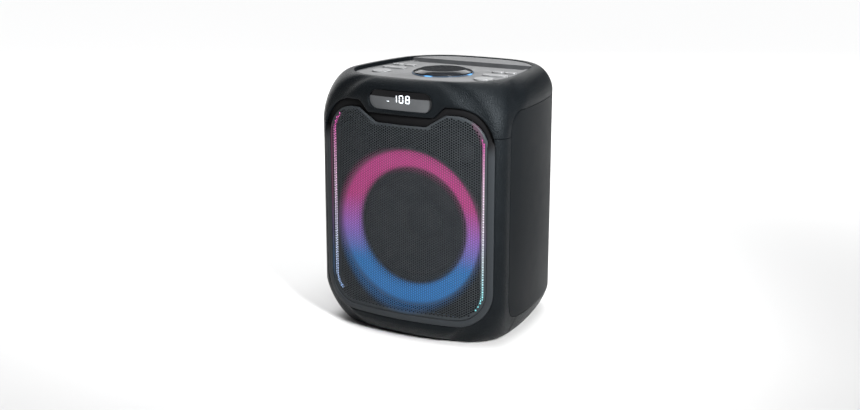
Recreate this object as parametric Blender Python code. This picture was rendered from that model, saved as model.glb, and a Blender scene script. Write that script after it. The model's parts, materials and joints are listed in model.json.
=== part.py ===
"""Party speaker: a bowed plastic cabinet with a lit woofer behind a bowed grille.

Metres, +Z up, front towards -Y. The origin is on the ground under the middle of the
cabinet. Heights in the constants are above the cabinet's underside, which the feet
hold FOOT_DROP above the ground.
"""

import math

import bmesh
import bpy
from mathutils import Matrix, Vector

MM = 0.001

# Driving dimensions of the cabinet.
WIDTH = 249 * MM
DEPTH = 234 * MM
HEIGHT = 307.5 * MM
FOOT_DROP = 2.5 * MM
GAP = 0.3 * MM  # between pieces that rest against each other

HALF_WIDTH = WIDTH / 2
FRONT_Y = -DEPTH / 2
BACK_Y = DEPTH / 2
FAR = 400 * MM  # past every face, for cutting through
SPARE = 20 * MM  # how far a cutter starts outside the face that it cuts

# Plan shape: four bowed sides, joined by round corners.
FRONT_BOW = 327 * MM
SIDE_BOW = 440 * MM
BACK_BOW = 310 * MM
FRONT_CORNER = 19 * MM
BACK_CORNER = 68 * MM
WIDEST_Y = FRONT_Y + 72 * MM



def bow_drop(half):
    """How far the bowed front lies back at a distance from the middle."""
    return FRONT_BOW - math.sqrt(FRONT_BOW**2 - half**2)


# Rolled edges: how far the top and bottom outlines lie inside the walls.
CREST_INSET_FRONT = 14 * MM
CREST_INSET_SIDE = 20.5 * MM
CREST_INSET_BACK = 12 * MM
CREST_FRONT_CORNER = 64 * MM
SOLE_INSET_FRONT = 14.5 * MM
SOLE_INSET_SIDE = 17.5 * MM
SOLE_INSET_BACK = 20 * MM
SOLE_FRONT_CORNER = 50 * MM
TOP_ROLL = (24 * MM, 58 * MM, 28 * MM)  # height at front middle, front corner, side
SOLE_ROLL = (16 * MM, 50 * MM, 30 * MM)
TOP_POWER = 1.7
SOLE_POWER = 1.4
# Where the roll grows from its middle height to its corner height and on to its side height.
ROLL_CORNER_X = HALF_WIDTH - 64.7 * MM
ROLL_CORNER_SPAN = 49.8 * MM
ROLL_SIDE_Y = FRONT_Y + 17.5 * MM
ROLL_SIDE_SPAN = 70.2 * MM

# Walls.
WALL = 3 * MM
FRONT_WALL = 7 * MM
ROOF_WALL = 11.5 * MM

# Seams between the four shells.
CAP_SEAM_Z = HEIGHT - 60.5 * MM
SHELL_FRONT_Y = FRONT_Y + 41 * MM
SHELL_LOW_Z = 27 * MM
SHELL_HIGH_Z = HEIGHT - 33 * MM
SHELL_CORNER = 24 * MM
BASE_CUT_Z = SHELL_LOW_Z + 10 * MM

# Front opening and trim, as outlines seen from the front.
OPENING_HALF = HALF_WIDTH - 11.2 * MM
OPENING_LOW_Z = 21.3 * MM
OPENING_LOW_CORNER = 44 * MM
OPENING_DEPTH = bow_drop(OPENING_HALF) + FRONT_WALL + 3.75 * MM
HUMP_Z = HEIGHT - 27.5 * MM
HUMP_CORNER = 46 * MM
CHIN_Z = HUMP_Z - 13 * MM
CHIN_HALF = 43 * MM
CHIN_SLOPE = 13 * MM
CHIN_ROUNDS = (6 * MM, 3 * MM)
TRIM_WIDTH = 8 * MM
TRIM_STEP = 4.5 * MM  # how far the trim drops back under the cap
TRIM_STEP_Z = CAP_SEAM_Z - 9 * MM
TRIM_BLOCK = OPENING_DEPTH + 6 * MM

# Grille and the carrier behind its edge.
GRILLE_HALF = OPENING_HALF - TRIM_WIDTH
GRILLE_LOW_Z = OPENING_LOW_Z + TRIM_WIDTH
GRILLE_LOW_CORNER = OPENING_LOW_CORNER - TRIM_WIDTH
GRILLE_HIGH_Z = HUMP_Z - 9 * MM
GRILLE_HIGH_CORNER = HUMP_CORNER - TRIM_WIDTH
NOTCH_Z = CHIN_Z - 11 * MM
NOTCH_HALF = 33 * MM
NOTCH_SLOPE = 24 * MM
NOTCH_ROUNDS = (8 * MM, 12 * MM)
GRILLE_SETBACK = 1.2 * MM
GRILLE_SHEET = 1.2 * MM
CARRIER_SHEET = 1.5 * MM
CARRIER_LEDGE = 2.5 * MM

# Display in the chin.
LENS_HALF = 41.5 * MM
LENS_LOW_Z = CHIN_Z + 5.4 * MM
LENS_HIGH_Z = LENS_LOW_Z + 21.9 * MM
LENS_SETBACK = 3.5 * MM
LENS_SHEET = 2 * MM
LENS_HOLE_DEPTH = 17 * MM
DISPLAY_BOARD_SETBACK = 5 * MM
DISPLAY_BOARD_SIDE = 6 * MM
DISPLAY_BOARD_LOW = 3 * MM
DISPLAY_BOARD_HIGH = 4 * MM

# Baffle with the light ring and the strips.
BAFFLE_HALF = GRILLE_HALF + 0.7 * MM
BAFFLE_CLEARANCE = 3.84 * MM
BAFFLE_FRONT_Y = FRONT_Y + bow_drop(BAFFLE_HALF) + FRONT_WALL + BAFFLE_CLEARANCE
BAFFLE_SHEET = 12 * MM
BAFFLE_BACK_Y = BAFFLE_FRONT_Y + BAFFLE_SHEET
BAFFLE_LOW_Z = GRILLE_LOW_Z - 2.3 * MM
BAFFLE_HIGH_Z = GRILLE_HIGH_Z - 19 * MM
BAFFLE_CORNER = 34 * MM
RING_INNER = 70 * MM
RING_WIDTH = 26.5 * MM
RING_OUTER = RING_INNER + RING_WIDTH
RING_PROUD = 4.5 * MM
RING_SHEET = 2 * MM
RING_SEAT = 3 * MM
RING_SEAT_GAP = 0.5 * MM
RING_FRONT_Y = BAFFLE_FRONT_Y - RING_PROUD
RING_BACK_Y = BAFFLE_BACK_Y - RING_SEAT - RING_SEAT_GAP
STRIP_X = GRILLE_HALF - 5.8 * MM
STRIP_WIDTH = 3 * MM
STRIP_DEPTH = 2.6 * MM
STRIP_LOW_Z = BAFFLE_LOW_Z + 36 * MM
STRIP_HIGH_Z = BAFFLE_HIGH_Z - 14 * MM
STRIP_BEND = 32 * MM
STRIP_BEND_ANGLE = math.radians(42)
DRIVER_Z = BAFFLE_LOW_Z + RING_OUTER + 5.5 * MM

# Woofer, on the driver axis along Y.
SURROUND_OUTER = RING_INNER + 5.5 * MM
SURROUND_INNER = SURROUND_OUTER - 16.5 * MM
SURROUND_SHEET = 1 * MM
SURROUND_LAND = 1 * MM  # flat edge on each side of the half roll
SURROUND_RISE = 0.8  # roll height over roll radius
WOOFER_RIM = SURROUND_OUTER + 10.5 * MM
WOOFER_RIM_SHEET = 2.5 * MM
CONE_SHEET = 1 * MM
CONE_NECK_SHEET = 1.6 * MM
CONE_EDGE_Y = BAFFLE_BACK_Y - 1 * MM
CONE_NECK_Y = CONE_EDGE_Y + 24.5 * MM
CONE_TRAVEL = 3 * MM
COIL_INNER = 17 * MM
COIL_OUTER = 18 * MM
COIL_BACK_Y = CONE_NECK_Y + 19 * MM
COIL_FLOOR = 3 * MM
DUST_CAP = 25 * MM
DUST_CAP_RISE = 7 * MM
BASKET_BACK = 44 * MM
BASKET_BACK_Y = CONE_NECK_Y + 11 * MM
BASKET_SHEET = 2 * MM
BASKET_FLOOR = 3 * MM
BASKET_BORE = COIL_OUTER + 6 * MM
BASKET_LIP = 3 * MM
SPIDER_WIDTH = 20 * MM
SPIDER_WAVE = 1.2 * MM
SPIDER_SHEET = 2 * MM
MAGNET = 40 * MM
MAGNET_LENGTH = 30 * MM
GAP_WIDTH_IN = 0.6 * MM
GAP_WIDTH_OUT = 1 * MM

# Tweeters.
TWEETER_X = 72 * MM
TWEETER_Z = BAFFLE_HIGH_Z - 26 * MM
TWEETER_RIM = 19.5 * MM
TWEETER_PROUD = 1 * MM
TWEETER_FLANGE = 8 * MM
TWEETER_STEP = 3 * MM
TWEETER_DOME = 12 * MM
TWEETER_DOME_RISE = 5 * MM
TWEETER_LENGTH = 24 * MM
TWEETER_TRAVEL = 0.3 * MM

# Control panel.
PANEL_RIM = 4.5 * MM
PANEL_Z = HEIGHT - 4.5 * MM
PANEL_SHEET = 3 * MM
PANEL_LEDGE = 3 * MM
ROOF_CUT = 30 * MM
DECK_Z = HEIGHT - 1 * MM
DECK_Y = BACK_Y - 53.5 * MM
BOARD_SHEET = 1.6 * MM
BOARD_DROP = 1.5 * MM
BOARD_SIDE = 19 * MM
BOARD_FRONT = 14 * MM
BOARD_BACK = 10 * MM

# Dial, its light ring and its encoder.
DIAL_Y = -10.5 * MM
DIAL_LOW = 36 * MM
DIAL_HIGH = DIAL_LOW - 8 * MM
DIAL_RISE = 4.5 * MM
DIAL_SKIRT = 1 * MM
DIAL_TOP = 2 * MM
DISH = DIAL_LOW + 6.5 * MM
DISH_EDGE = 4 * MM
DISH_DEPTH = 0.8 * MM
GLOW_OUTER = DIAL_LOW + 1.6 * MM
GLOW_INNER = GLOW_OUTER - 7.6 * MM
GLOW_SHEET = 0.8 * MM
SHAFT = 3 * MM
SHAFT_HOLE = 5 * MM
ENCODER = 7 * MM
ENCODER_LENGTH = 14 * MM

# Buttons.
BUTTON_X = HALF_WIDTH - 55.5 * MM
ROUND_BUTTON_Y = -38.4 * MM
ROUND_BUTTON = (23.4 * MM, 23.4 * MM)
LONG_BUTTON_Y = -7.8 * MM
LONG_BUTTON = (33 * MM, 11 * MM)
SMALL_BUTTON_Y = 17 * MM
SMALL_BUTTON = (15.5 * MM, 9 * MM)
SMALL_BUTTON_STEP = 8.8 * MM
BUTTON_RISE = 1.8 * MM
BUTTON_DROP = 2 * MM
BUTTON_CLEARANCE = 0.4 * MM
BUTTON_TRAVEL = 0.8 * MM
BUTTON_STEM = 2 * MM
BUTTON_LIFT = 0.5 * MM
BUTTON_BEVEL = 0.5 * MM

# Groove that holds a telephone or tablet.
GROOVE_END = 3.2 * MM  # from the groove's end to the cap's opening
GROOVE_FRONT_Y = DECK_Y - 11.5 * MM
GROOVE_DEPTH = 11 * MM
GROOVE_SHEET = 1.2 * MM
GROOVE_LAP = 0.01 * MM

# Back: jack panel, sockets and bass port.
BACK_CUT = 27 * MM
JACK_HALF = 46 * MM
JACK_LOW_Z = 42 * MM
JACK_HIGH_Z = 106 * MM
JACK_CORNER = 8 * MM
JACK_SETBACK = 7 * MM
JACK_SHEET = 2.5 * MM
JACK_RIM = 2 * MM
JACK_RIM_SETBACK = 4 * MM
SOCKET_Z = (JACK_LOW_Z + JACK_HIGH_Z) / 2
SOCKET_LENGTH = 14 * MM
SOCKET_BORE_LENGTH = 11 * MM
SOCKET_PROUD = 1 * MM
SOCKET_ROUND = 0.6 * MM
SOCKETS = (  # name, x, body size, bore size
    ("mic_socket", -30 * MM, (13 * MM, 13 * MM), (6.5 * MM, 6.5 * MM)),
    ("aux_socket", -11 * MM, (9 * MM, 9 * MM), (3.6 * MM, 3.6 * MM)),
    ("usb_socket", 9 * MM, (14 * MM, 7 * MM), (12.2 * MM, 5.2 * MM)),
    ("power_inlet", 30 * MM, (12 * MM, 12 * MM), (6.4 * MM, 6.4 * MM)),
)
PORT_Z = HEIGHT - 111.5 * MM
PORT_BORE = 23 * MM
PORT_SHEET = 2.5 * MM
PORT_MOUTH = PORT_BORE + 10 * MM
PORT_LIP = 1 * MM
PORT_SETBACK = 5.5 * MM
PORT_LENGTH = 90 * MM

# Inside the base.
BATTERY = (120 * MM, 46 * MM, 40 * MM)
BATTERY_Y = -30 * MM
BATTERY_LIFT = 8 * MM
BATTERY_ROUND = 3 * MM
AMPLIFIER = (110 * MM, 66 * MM)
AMPLIFIER_Y = BACK_Y - 69 * MM
AMPLIFIER_LIFT = 8 * MM
HEAT_SINK = (50 * MM, 30 * MM, 22 * MM)
HEAT_SINK_FLOOR = 4 * MM
FIN_STEP = 7 * MM
FIN_SLOTS = 6

# Feet and screws.
FOOT = 9 * MM
FOOT_ROUND = 0.8 * MM
FOOT_INSERT = 5 * MM
FOOT_INSERT_RISE = 1.5 * MM
FRONT_FOOT = (HALF_WIDTH - 54.5 * MM, FRONT_Y + 49 * MM)
BACK_FOOT = (HALF_WIDTH - 58.5 * MM, BACK_Y - 57 * MM)
SCREW_HEAD = 3 * MM
SCREW_SHANK = 1.4 * MM
SCREW_HEAD_HEIGHT = 1.8 * MM
JACK_SCREW_LENGTH = 9 * MM
BASE_SCREW_LENGTH = 10 * MM
BASE_SCREW_X = 30 * MM
BASE_SCREW_FRONT_Y = SHELL_FRONT_Y + 46 * MM
BASE_SCREW_BACK_Y = BACK_Y - 37 * MM


def clear_scene():
    for item in list(bpy.data.objects):
        bpy.data.objects.remove(item)


def material(name, color, roughness, metallic=0.0, glow=0.0):
    made = bpy.data.materials.new(name)
    made.use_nodes = True
    shader = made.node_tree.nodes["Principled BSDF"]
    shader.inputs["Base Color"].default_value = (*color, 1)
    shader.inputs["Roughness"].default_value = roughness
    shader.inputs["Metallic"].default_value = metallic
    if glow:
        shader.inputs["Emission Color"].default_value = (*color, 1)
        shader.inputs["Emission Strength"].default_value = glow
    return made


def add_object(name, bm, finish=None, origin=(0, 0, 0)):
    """Make an object of the mesh, with its origin at a point given above the underside."""
    bmesh.ops.recalc_face_normals(bm, faces=bm.faces)
    bmesh.ops.translate(bm, verts=bm.verts, vec=-Vector(origin))
    mesh = bpy.data.meshes.new(name)
    bm.to_mesh(mesh)
    bm.free()
    mesh.shade_smooth()
    mesh.set_sharp_from_angle(angle=math.radians(35))
    made = bpy.data.objects.new(name, mesh)
    bpy.context.scene.collection.objects.link(made)
    made.parent = rig
    made.location = origin
    if finish:
        mesh.materials.append(finish)
    return made


def add_cutter(name, bm):
    made = add_object(name, bm)
    made.hide_render = True
    made.display_type = "WIRE"
    return made


def combine(target, tool, operation):
    step = target.modifiers.new(tool.name, "BOOLEAN")
    step.operation = operation
    step.object = tool


def cut(target, *tools):
    for tool in tools:
        combine(target, tool, "DIFFERENCE")


def keep(target, *tools):
    for tool in tools:
        combine(target, tool, "INTERSECT")


def smooth_step(value):
    value = min(max(value, 0), 1)
    return value * value * (3 - 2 * value)


def mix(low, high, share):
    return low + (high - low) * share


def arc(centre, radius, start, end, steps):
    """Points along an arc, without its last one."""
    angles = [mix(start, end, step / steps) for step in range(steps)]
    return [
        (centre[0] + radius * math.cos(angle), centre[1] + radius * math.sin(angle))
        for angle in angles
    ]


def corner_centre(bow_centre, bow, side_centre, side, radius, towards):
    """Centre of the corner arc that runs smoothly into two bowed sides."""
    across = Vector(side_centre) - Vector(bow_centre)
    distance = across.length
    from_bow = bow - radius
    from_side = side - radius
    along = (from_bow**2 - from_side**2 + distance**2) / (2 * distance)
    aside = math.sqrt(from_bow**2 - along**2)
    unit = across / distance
    normal = Vector((-unit.y, unit.x))
    ends = [Vector(bow_centre) + unit * along + normal * aside * sign for sign in (1, -1)]
    return max(ends, key=lambda point: point.x + towards * point.y)


def plan_outline(front_in, side_in, back_in, front_corner, back_corner):
    """Outline of the cabinet in plan, moved in from the walls, from the front middle on."""
    front = Vector((0, FRONT_Y + FRONT_BOW))
    side = Vector((HALF_WIDTH - SIDE_BOW, WIDEST_Y))
    back = Vector((0, BACK_Y - BACK_BOW))
    bow, flank, rear = FRONT_BOW - front_in, SIDE_BOW - side_in, BACK_BOW - back_in
    near = corner_centre(front, bow, side, flank, front_corner, -1)
    far = corner_centre(back, rear, side, flank, back_corner, 1)
    turns = [
        -math.pi / 2,
        math.atan2(*(near - front).yx),
        math.atan2(*(near - side).yx),
        math.atan2(*(far - side).yx),
        math.atan2(*(far - back).yx),
        math.pi / 2,
    ]
    half = arc(front, bow, turns[0], turns[1], 5)
    half += arc(near, front_corner, turns[1], turns[2], 3)
    half += arc(side, flank, turns[2], turns[3], 4)
    half += arc(far, back_corner, turns[3], turns[4], 5)
    half += arc(back, rear, turns[4], turns[5], 4)
    mirrored = [(-x, y) for x, y in reversed(half[1:])]
    return half + [(0, back.y + rear)] + mirrored


def roll_height(heights, x, y):
    """Height of the rolled edge at a point of the wall."""
    middle, corner, side = heights
    across = smooth_step((abs(x) - ROLL_CORNER_X) / ROLL_CORNER_SPAN)
    along = smooth_step((y - ROLL_SIDE_Y) / ROLL_SIDE_SPAN)
    return mix(mix(middle, corner, across), side, along)


def wall_ring(wall, front_wall):
    return plan_outline(front_wall, wall, wall, FRONT_CORNER - wall, BACK_CORNER - wall)


def roll_rings(wall, front_wall, end, heights, power, turn, limit, steps):
    """Rings from the wall (first) to the end outline, rising or falling to the limit."""
    base = wall_ring(wall, front_wall)
    rings = []
    for step in range(steps + 1):
        angle = step / steps * math.pi / 2
        out = max(math.cos(angle), 0) ** (2 / power)
        up = math.sin(angle) ** (2 / power)
        ring = []
        for (x, y), (end_x, end_y) in zip(base, end):
            start = turn(roll_height(heights, x, y))
            place = (mix(end_x, x, out), mix(end_y, y, out), mix(start, limit, up))
            ring.append(place)
        rings.append(ring)
    return rings


def crest_outline(inset):
    return plan_outline(
        CREST_INSET_FRONT + inset,
        CREST_INSET_SIDE + inset,
        CREST_INSET_BACK + inset,
        CREST_FRONT_CORNER - inset,
        BACK_CORNER - inset,
    )


def sole_outline(inset):
    return plan_outline(
        SOLE_INSET_FRONT + inset,
        SOLE_INSET_SIDE + inset,
        SOLE_INSET_BACK + inset,
        SOLE_FRONT_CORNER - inset,
        BACK_CORNER - inset,
    )


def cabinet_rings(wall, front_wall, floor, roof, steps):
    """Rings of the cabinet's outside (no walls) or of its hollow (walls), bottom to top."""
    rings = roll_rings(
        wall, front_wall, sole_outline(wall), SOLE_ROLL, SOLE_POWER,
        lambda height: height, floor, steps,
    )
    rings.reverse()
    rings += roll_rings(
        wall, front_wall, crest_outline(front_wall), TOP_ROLL, TOP_POWER,
        lambda height: HEIGHT - height, HEIGHT - roof, steps,
    )
    return rings


def loft(rings):
    """Closed solid through rings with the same number of points."""
    bm = bmesh.new()
    face = bm.faces.new([bm.verts.new(point) for point in rings[0]])
    first = list(face.verts)
    for ring in rings[1:]:
        face = bmesh.ops.extrude_discrete_faces(bm, faces=[face])["faces"][0]
        for loop, point in zip(face.loops, ring):
            loop.vert.co = point
    bm.faces.new(reversed(first))
    bmesh.ops.triangulate(bm, faces=bm.faces)
    return bm


def prism(outline, axis, start, end):
    """Solid with the given outline across an axis: (y, z), (x, z) or (x, y) points."""
    order = {"X": (1, 2, 0), "Y": (0, 2, 1), "Z": (0, 1, 2)}[axis]

    def place(u, v, w):
        point = [0, 0, 0]
        for slot, value in zip(order, (u, v, w)):
            point[slot] = value
        return Vector(point)

    bm = bmesh.new()
    face = bm.faces.new([bm.verts.new(place(u, v, start)) for u, v in outline])
    made = bmesh.ops.extrude_face_region(bm, geom=[face], use_keep_orig=True)["geom"]
    moved = [item for item in made if isinstance(item, bmesh.types.BMVert)]
    bmesh.ops.translate(bm, verts=moved, vec=place(0, 0, end - start))
    return bm


def box(low, high):
    bm = bmesh.new()
    bmesh.ops.create_cube(bm, size=1)
    size = Vector(high) - Vector(low)
    bmesh.ops.scale(bm, verts=bm.verts, vec=size)
    bmesh.ops.translate(bm, verts=bm.verts, vec=Vector(low) + size / 2)
    return bm


def turned(profile, axis="Y", centre=(0, 0, 0), steps=28, closed=True):
    """Solid of revolution. Profile points are (radius, distance along the axis).

    A closed profile goes round a ring; an open one starts and ends on the axis."""
    along = Vector((0, 1, 0)) if axis == "Y" else Vector((0, 0, 1))
    bm = bmesh.new()
    points = [bm.verts.new(Vector((r, 0, 0)) + along * d) for r, d in profile]
    pairs = list(zip(points, points[1:]))
    if closed:
        pairs.append((points[-1], points[0]))
    edges = [bm.edges.new(pair) for pair in pairs]
    bmesh.ops.spin(
        bm, geom=points + edges, cent=(0, 0, 0), axis=along,
        angle=2 * math.pi, steps=steps, use_merge=True,
    )
    bmesh.ops.remove_doubles(bm, verts=bm.verts, dist=0.001 * MM)
    bmesh.ops.translate(bm, verts=bm.verts, vec=Vector(centre))
    return bm


def drill(radius, centre, axis="Y", start=-FAR, steps=16):
    """Round cutter along an axis, from its start on."""
    profile = [(0, start), (radius, start), (radius, FAR), (0, FAR)]
    return turned(profile, axis=axis, centre=centre, steps=steps, closed=False)


def rounded(corners, steps=4):
    """Outline through corners given as (u, v, radius), in order round the shape."""
    outline = []
    count = len(corners)
    for index, (u, v, radius) in enumerate(corners):
        here = Vector((u, v))
        before = (Vector(corners[index - 1][:2]) - here).normalized()
        after = (Vector(corners[(index + 1) % count][:2]) - here).normalized()
        if radius <= 0:
            outline.append((u, v))
            continue
        half = before.angle(after) / 2
        reach = radius / math.tan(half)
        middle = here + (before + after).normalized() * radius / math.sin(half)
        start = here + before * reach - middle
        turn = before.angle(after) - math.pi
        if before.x * after.y - before.y * after.x > 0:
            turn = -turn
        parts = max(2, round(steps * abs(turn) / (math.pi / 2)))
        for part in range(parts + 1):
            spoke = Matrix.Rotation(-turn * part / parts, 2) @ start
            outline.append(tuple(middle + spoke))
    return outline


def pill(centre_x, centre_y, size, grow=0.0, steps=4):
    width, depth = size[0] / 2 + grow, size[1] / 2 + grow
    radius = min(width, depth) * 0.999
    return rounded(
        [
            (centre_x - width, centre_y - depth, radius),
            (centre_x + width, centre_y - depth, radius),
            (centre_x + width, centre_y + depth, radius),
            (centre_x - width, centre_y + depth, radius),
        ],
        steps,
    )


def front_slab(outer, inner):
    """Curved slab that follows the front, between two depths behind its face."""
    centre = (0, FRONT_Y + FRONT_BOW)
    reach = math.asin((HALF_WIDTH + SPARE / 2) / FRONT_BOW)
    middle = -math.pi / 2
    near = arc(centre, FRONT_BOW - outer, middle - reach, middle + reach, 18)
    far = arc(centre, FRONT_BOW - inner, middle + reach, middle - reach, 18)
    return prism(near + far, "Z", -FAR, FAR)


def front_block(outline, depth):
    return prism(outline, "Y", FRONT_Y - SPARE, FRONT_Y + depth)


def opening_outline(grow):
    half = OPENING_HALF + grow
    high_round, low_round = CHIN_ROUNDS
    chin = CHIN_HALF - grow / 2
    return rounded(
        [
            (-half, OPENING_LOW_Z - grow, OPENING_LOW_CORNER + grow),
            (half, OPENING_LOW_Z - grow, OPENING_LOW_CORNER + grow),
            (half, HUMP_Z + grow, HUMP_CORNER + grow),
            (chin + CHIN_SLOPE, HUMP_Z + grow, high_round),
            (chin, CHIN_Z + grow, low_round),
            (-chin, CHIN_Z + grow, low_round),
            (-chin - CHIN_SLOPE, HUMP_Z + grow, high_round),
            (-half, HUMP_Z + grow, HUMP_CORNER + grow),
        ]
    )


def grille_outline(grow):
    half = GRILLE_HALF + grow
    high_round, low_round = NOTCH_ROUNDS
    notch = NOTCH_HALF - grow / 2
    return rounded(
        [
            (-half, GRILLE_LOW_Z - grow, GRILLE_LOW_CORNER + grow),
            (half, GRILLE_LOW_Z - grow, GRILLE_LOW_CORNER + grow),
            (half, GRILLE_HIGH_Z + grow, GRILLE_HIGH_CORNER + grow),
            (notch + NOTCH_SLOPE, GRILLE_HIGH_Z + grow, high_round),
            (notch, NOTCH_Z + grow, low_round),
            (-notch, NOTCH_Z + grow, low_round),
            (-notch - NOTCH_SLOPE, GRILLE_HIGH_Z + grow, high_round),
            (-half, GRILLE_HIGH_Z + grow, GRILLE_HIGH_CORNER + grow),
        ]
    )


def lens_outline(grow):
    low, high = LENS_LOW_Z - grow, LENS_HIGH_Z + grow
    half = LENS_HALF + grow
    radius = (high - low) / 2 * 0.999
    corners = [(-half, low), (half, low), (half, high), (-half, high)]
    return rounded([(x, z, radius) for x, z in corners])


def rear_prism(shrink):
    """Outline of the rear shell seen from the side, shrunk or grown."""
    radius = SHELL_CORNER - shrink
    outline = rounded(
        [
            (SHELL_FRONT_Y + shrink, SHELL_LOW_Z + shrink, radius),
            (FAR, SHELL_LOW_Z + shrink, 0),
            (FAR, SHELL_HIGH_Z - shrink, 0),
            (SHELL_FRONT_Y + shrink, SHELL_HIGH_Z - shrink, radius),
        ]
    )
    return prism(outline, "X", -FAR, FAR)


def jack_outline(grow):
    low, high = JACK_LOW_Z - grow, JACK_HIGH_Z + grow
    half, radius = JACK_HALF + grow, JACK_CORNER + grow
    corners = [(-half, low), (half, low), (half, high), (-half, high)]
    return rounded([(x, z, radius) for x, z in corners], 4)


def add_shells():
    hollow_rings = cabinet_rings(WALL, FRONT_WALL, WALL, ROOF_WALL, 3)
    hollow = add_cutter("cabinet_hollow", loft(hollow_rings))
    opening = add_cutter("front_opening", front_block(opening_outline(0), OPENING_DEPTH))
    rear_grown = add_cutter("rear_grown", rear_prism(-GAP / 2))
    rear_shrunk = add_cutter("rear_shrunk", rear_prism(GAP / 2))
    under_y = SHELL_FRONT_Y + SHELL_CORNER

    def shell(name, finish):
        made = add_object(name, loft(cabinet_rings(0, 0, 0, 0, 5)), finish)
        cut(made, hollow)
        return made

    cap = shell("top_cap", grained)
    above = add_cutter(
        "above_cap_seam", box((-FAR, -FAR, CAP_SEAM_Z + GAP / 2), (FAR, FAR, FAR))
    )
    keep(cap, above)
    seat = crest_outline(PANEL_RIM)
    hole = crest_outline(PANEL_RIM + PANEL_LEDGE)
    panel_seat = add_cutter(
        "panel_seat", prism(seat, "Z", PANEL_Z - PANEL_SHEET - GAP, FAR)
    )
    panel_hole = add_cutter("panel_hole", prism(hole, "Z", HEIGHT - ROOF_CUT, FAR))
    lens_hole = add_cutter("lens_hole", front_block(lens_outline(GAP), LENS_HOLE_DEPTH))
    cut(cap, rear_grown, opening, panel_seat, panel_hole, lens_hole)

    frame = shell("front_frame", grained)
    below = add_cutter(
        "below_cap_seam",
        box((-FAR, -FAR, -FAR), (FAR, under_y - GAP / 2, CAP_SEAM_Z - GAP / 2)),
    )
    keep(frame, below)
    cut(frame, rear_grown, opening)

    rear = shell("rear_shell", smooth_black)
    keep(rear, rear_shrunk)
    inside_y = BACK_Y - BACK_CUT
    jack_hole = add_cutter("jack_hole", prism(jack_outline(GAP), "Y", inside_y, FAR))
    port_hole = add_cutter(
        "port_hole", drill(PORT_MOUTH + GAP, (0, 0, PORT_Z), start=inside_y, steps=28)
    )
    cut(rear, jack_hole, port_hole)

    base = shell("base_pan", grained)
    base_region = add_cutter(
        "base_region", box((-FAR, under_y + GAP / 2, -FAR), (FAR, FAR, BASE_CUT_Z))
    )
    keep(base, base_region)
    cut(base, rear_grown)
    for x, y, _name in foot_places():
        well = drill(FOOT_INSERT + GAP, (x, y, 0), axis="Z", steps=12)
        cut(frame if y < 0 else base, add_cutter("foot_well", well))
    for x, y, _name in base_screw_places():
        well = drill(SCREW_SHANK + GAP, (x, y, 0), axis="Z", steps=8)
        cut(base, add_cutter("screw_well", well))


def add_grille():
    outer = opening_outline(-GAP)
    inner = grille_outline(GAP)
    trim = add_object("grille_trim", front_block(outer, TRIM_BLOCK), trim_grey)
    face_slab = add_cutter("trim_slab", front_slab(0, FRONT_WALL))
    inside = add_cutter("trim_inside", prism(inner, "Y", -FAR, FAR))
    keep(trim, face_slab)
    cut(trim, inside)
    step_slab = front_slab(-SPARE / 2, TRIM_STEP)
    bmesh.ops.bisect_plane(
        step_slab, geom=step_slab.verts[:] + step_slab.edges[:] + step_slab.faces[:],
        plane_co=(0, 0, TRIM_STEP_Z), plane_no=(0, 0, -1), clear_outer=True,
    )
    bmesh.ops.holes_fill(step_slab, edges=step_slab.edges, sides=0)
    cut(trim, add_cutter("trim_step", step_slab))

    grille = add_object("grille", front_block(grille_outline(0), TRIM_BLOCK), sheet_metal)
    sheet = front_slab(GRILLE_SETBACK, GRILLE_SETBACK + GRILLE_SHEET)
    keep(grille, add_cutter("grille_slab", sheet))

    carrier = add_object("grille_carrier", front_block(outer, TRIM_BLOCK), matt_black)
    start = FRONT_WALL + GAP
    keep(carrier, add_cutter("carrier_slab", front_slab(start, start + CARRIER_SHEET)))
    window = prism(grille_outline(-CARRIER_LEDGE), "Y", -FAR, FAR)
    cut(carrier, add_cutter("carrier_window", window))


def add_display():
    lens = add_object("display_lens", front_block(lens_outline(0), TRIM_BLOCK), glossy_black)
    depth = LENS_SETBACK
    keep(lens, add_cutter("lens_slab", front_slab(depth, depth + LENS_SHEET)))
    back = FRONT_Y + depth + LENS_SHEET + DISPLAY_BOARD_SETBACK
    half = LENS_HALF - DISPLAY_BOARD_SIDE
    board = box(
        (-half, back, LENS_LOW_Z + DISPLAY_BOARD_LOW),
        (half, back + BOARD_SHEET, LENS_HIGH_Z - DISPLAY_BOARD_HIGH),
    )
    add_object("display_board", board, board_green)


def add_baffle():
    outline = rounded(
        [
            (-BAFFLE_HALF, BAFFLE_LOW_Z, BAFFLE_CORNER),
            (BAFFLE_HALF, BAFFLE_LOW_Z, BAFFLE_CORNER),
            (BAFFLE_HALF, BAFFLE_HIGH_Z, BAFFLE_CORNER),
            (-BAFFLE_HALF, BAFFLE_HIGH_Z, BAFFLE_CORNER),
        ]
    )
    baffle = add_object(
        "front_baffle", prism(outline, "Y", BAFFLE_FRONT_Y, BAFFLE_BACK_Y), matt_black
    )
    seat_y = BAFFLE_BACK_Y - RING_SEAT
    outer, inner = RING_OUTER + GAP, SURROUND_OUTER + GAP
    profile = [(0, -FAR), (outer, -FAR), (outer, seat_y), (inner, seat_y), (inner, 0), (0, 0)]
    hole = turned(profile, centre=(0, 0, DRIVER_Z), steps=44, closed=False)
    cut(baffle, add_cutter("woofer_hole", hole))
    for side in (-1, 1):
        hole = drill(TWEETER_RIM + GAP, (side * TWEETER_X, 0, TWEETER_Z), steps=20)
        cut(baffle, add_cutter("tweeter_hole", hole))


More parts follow.
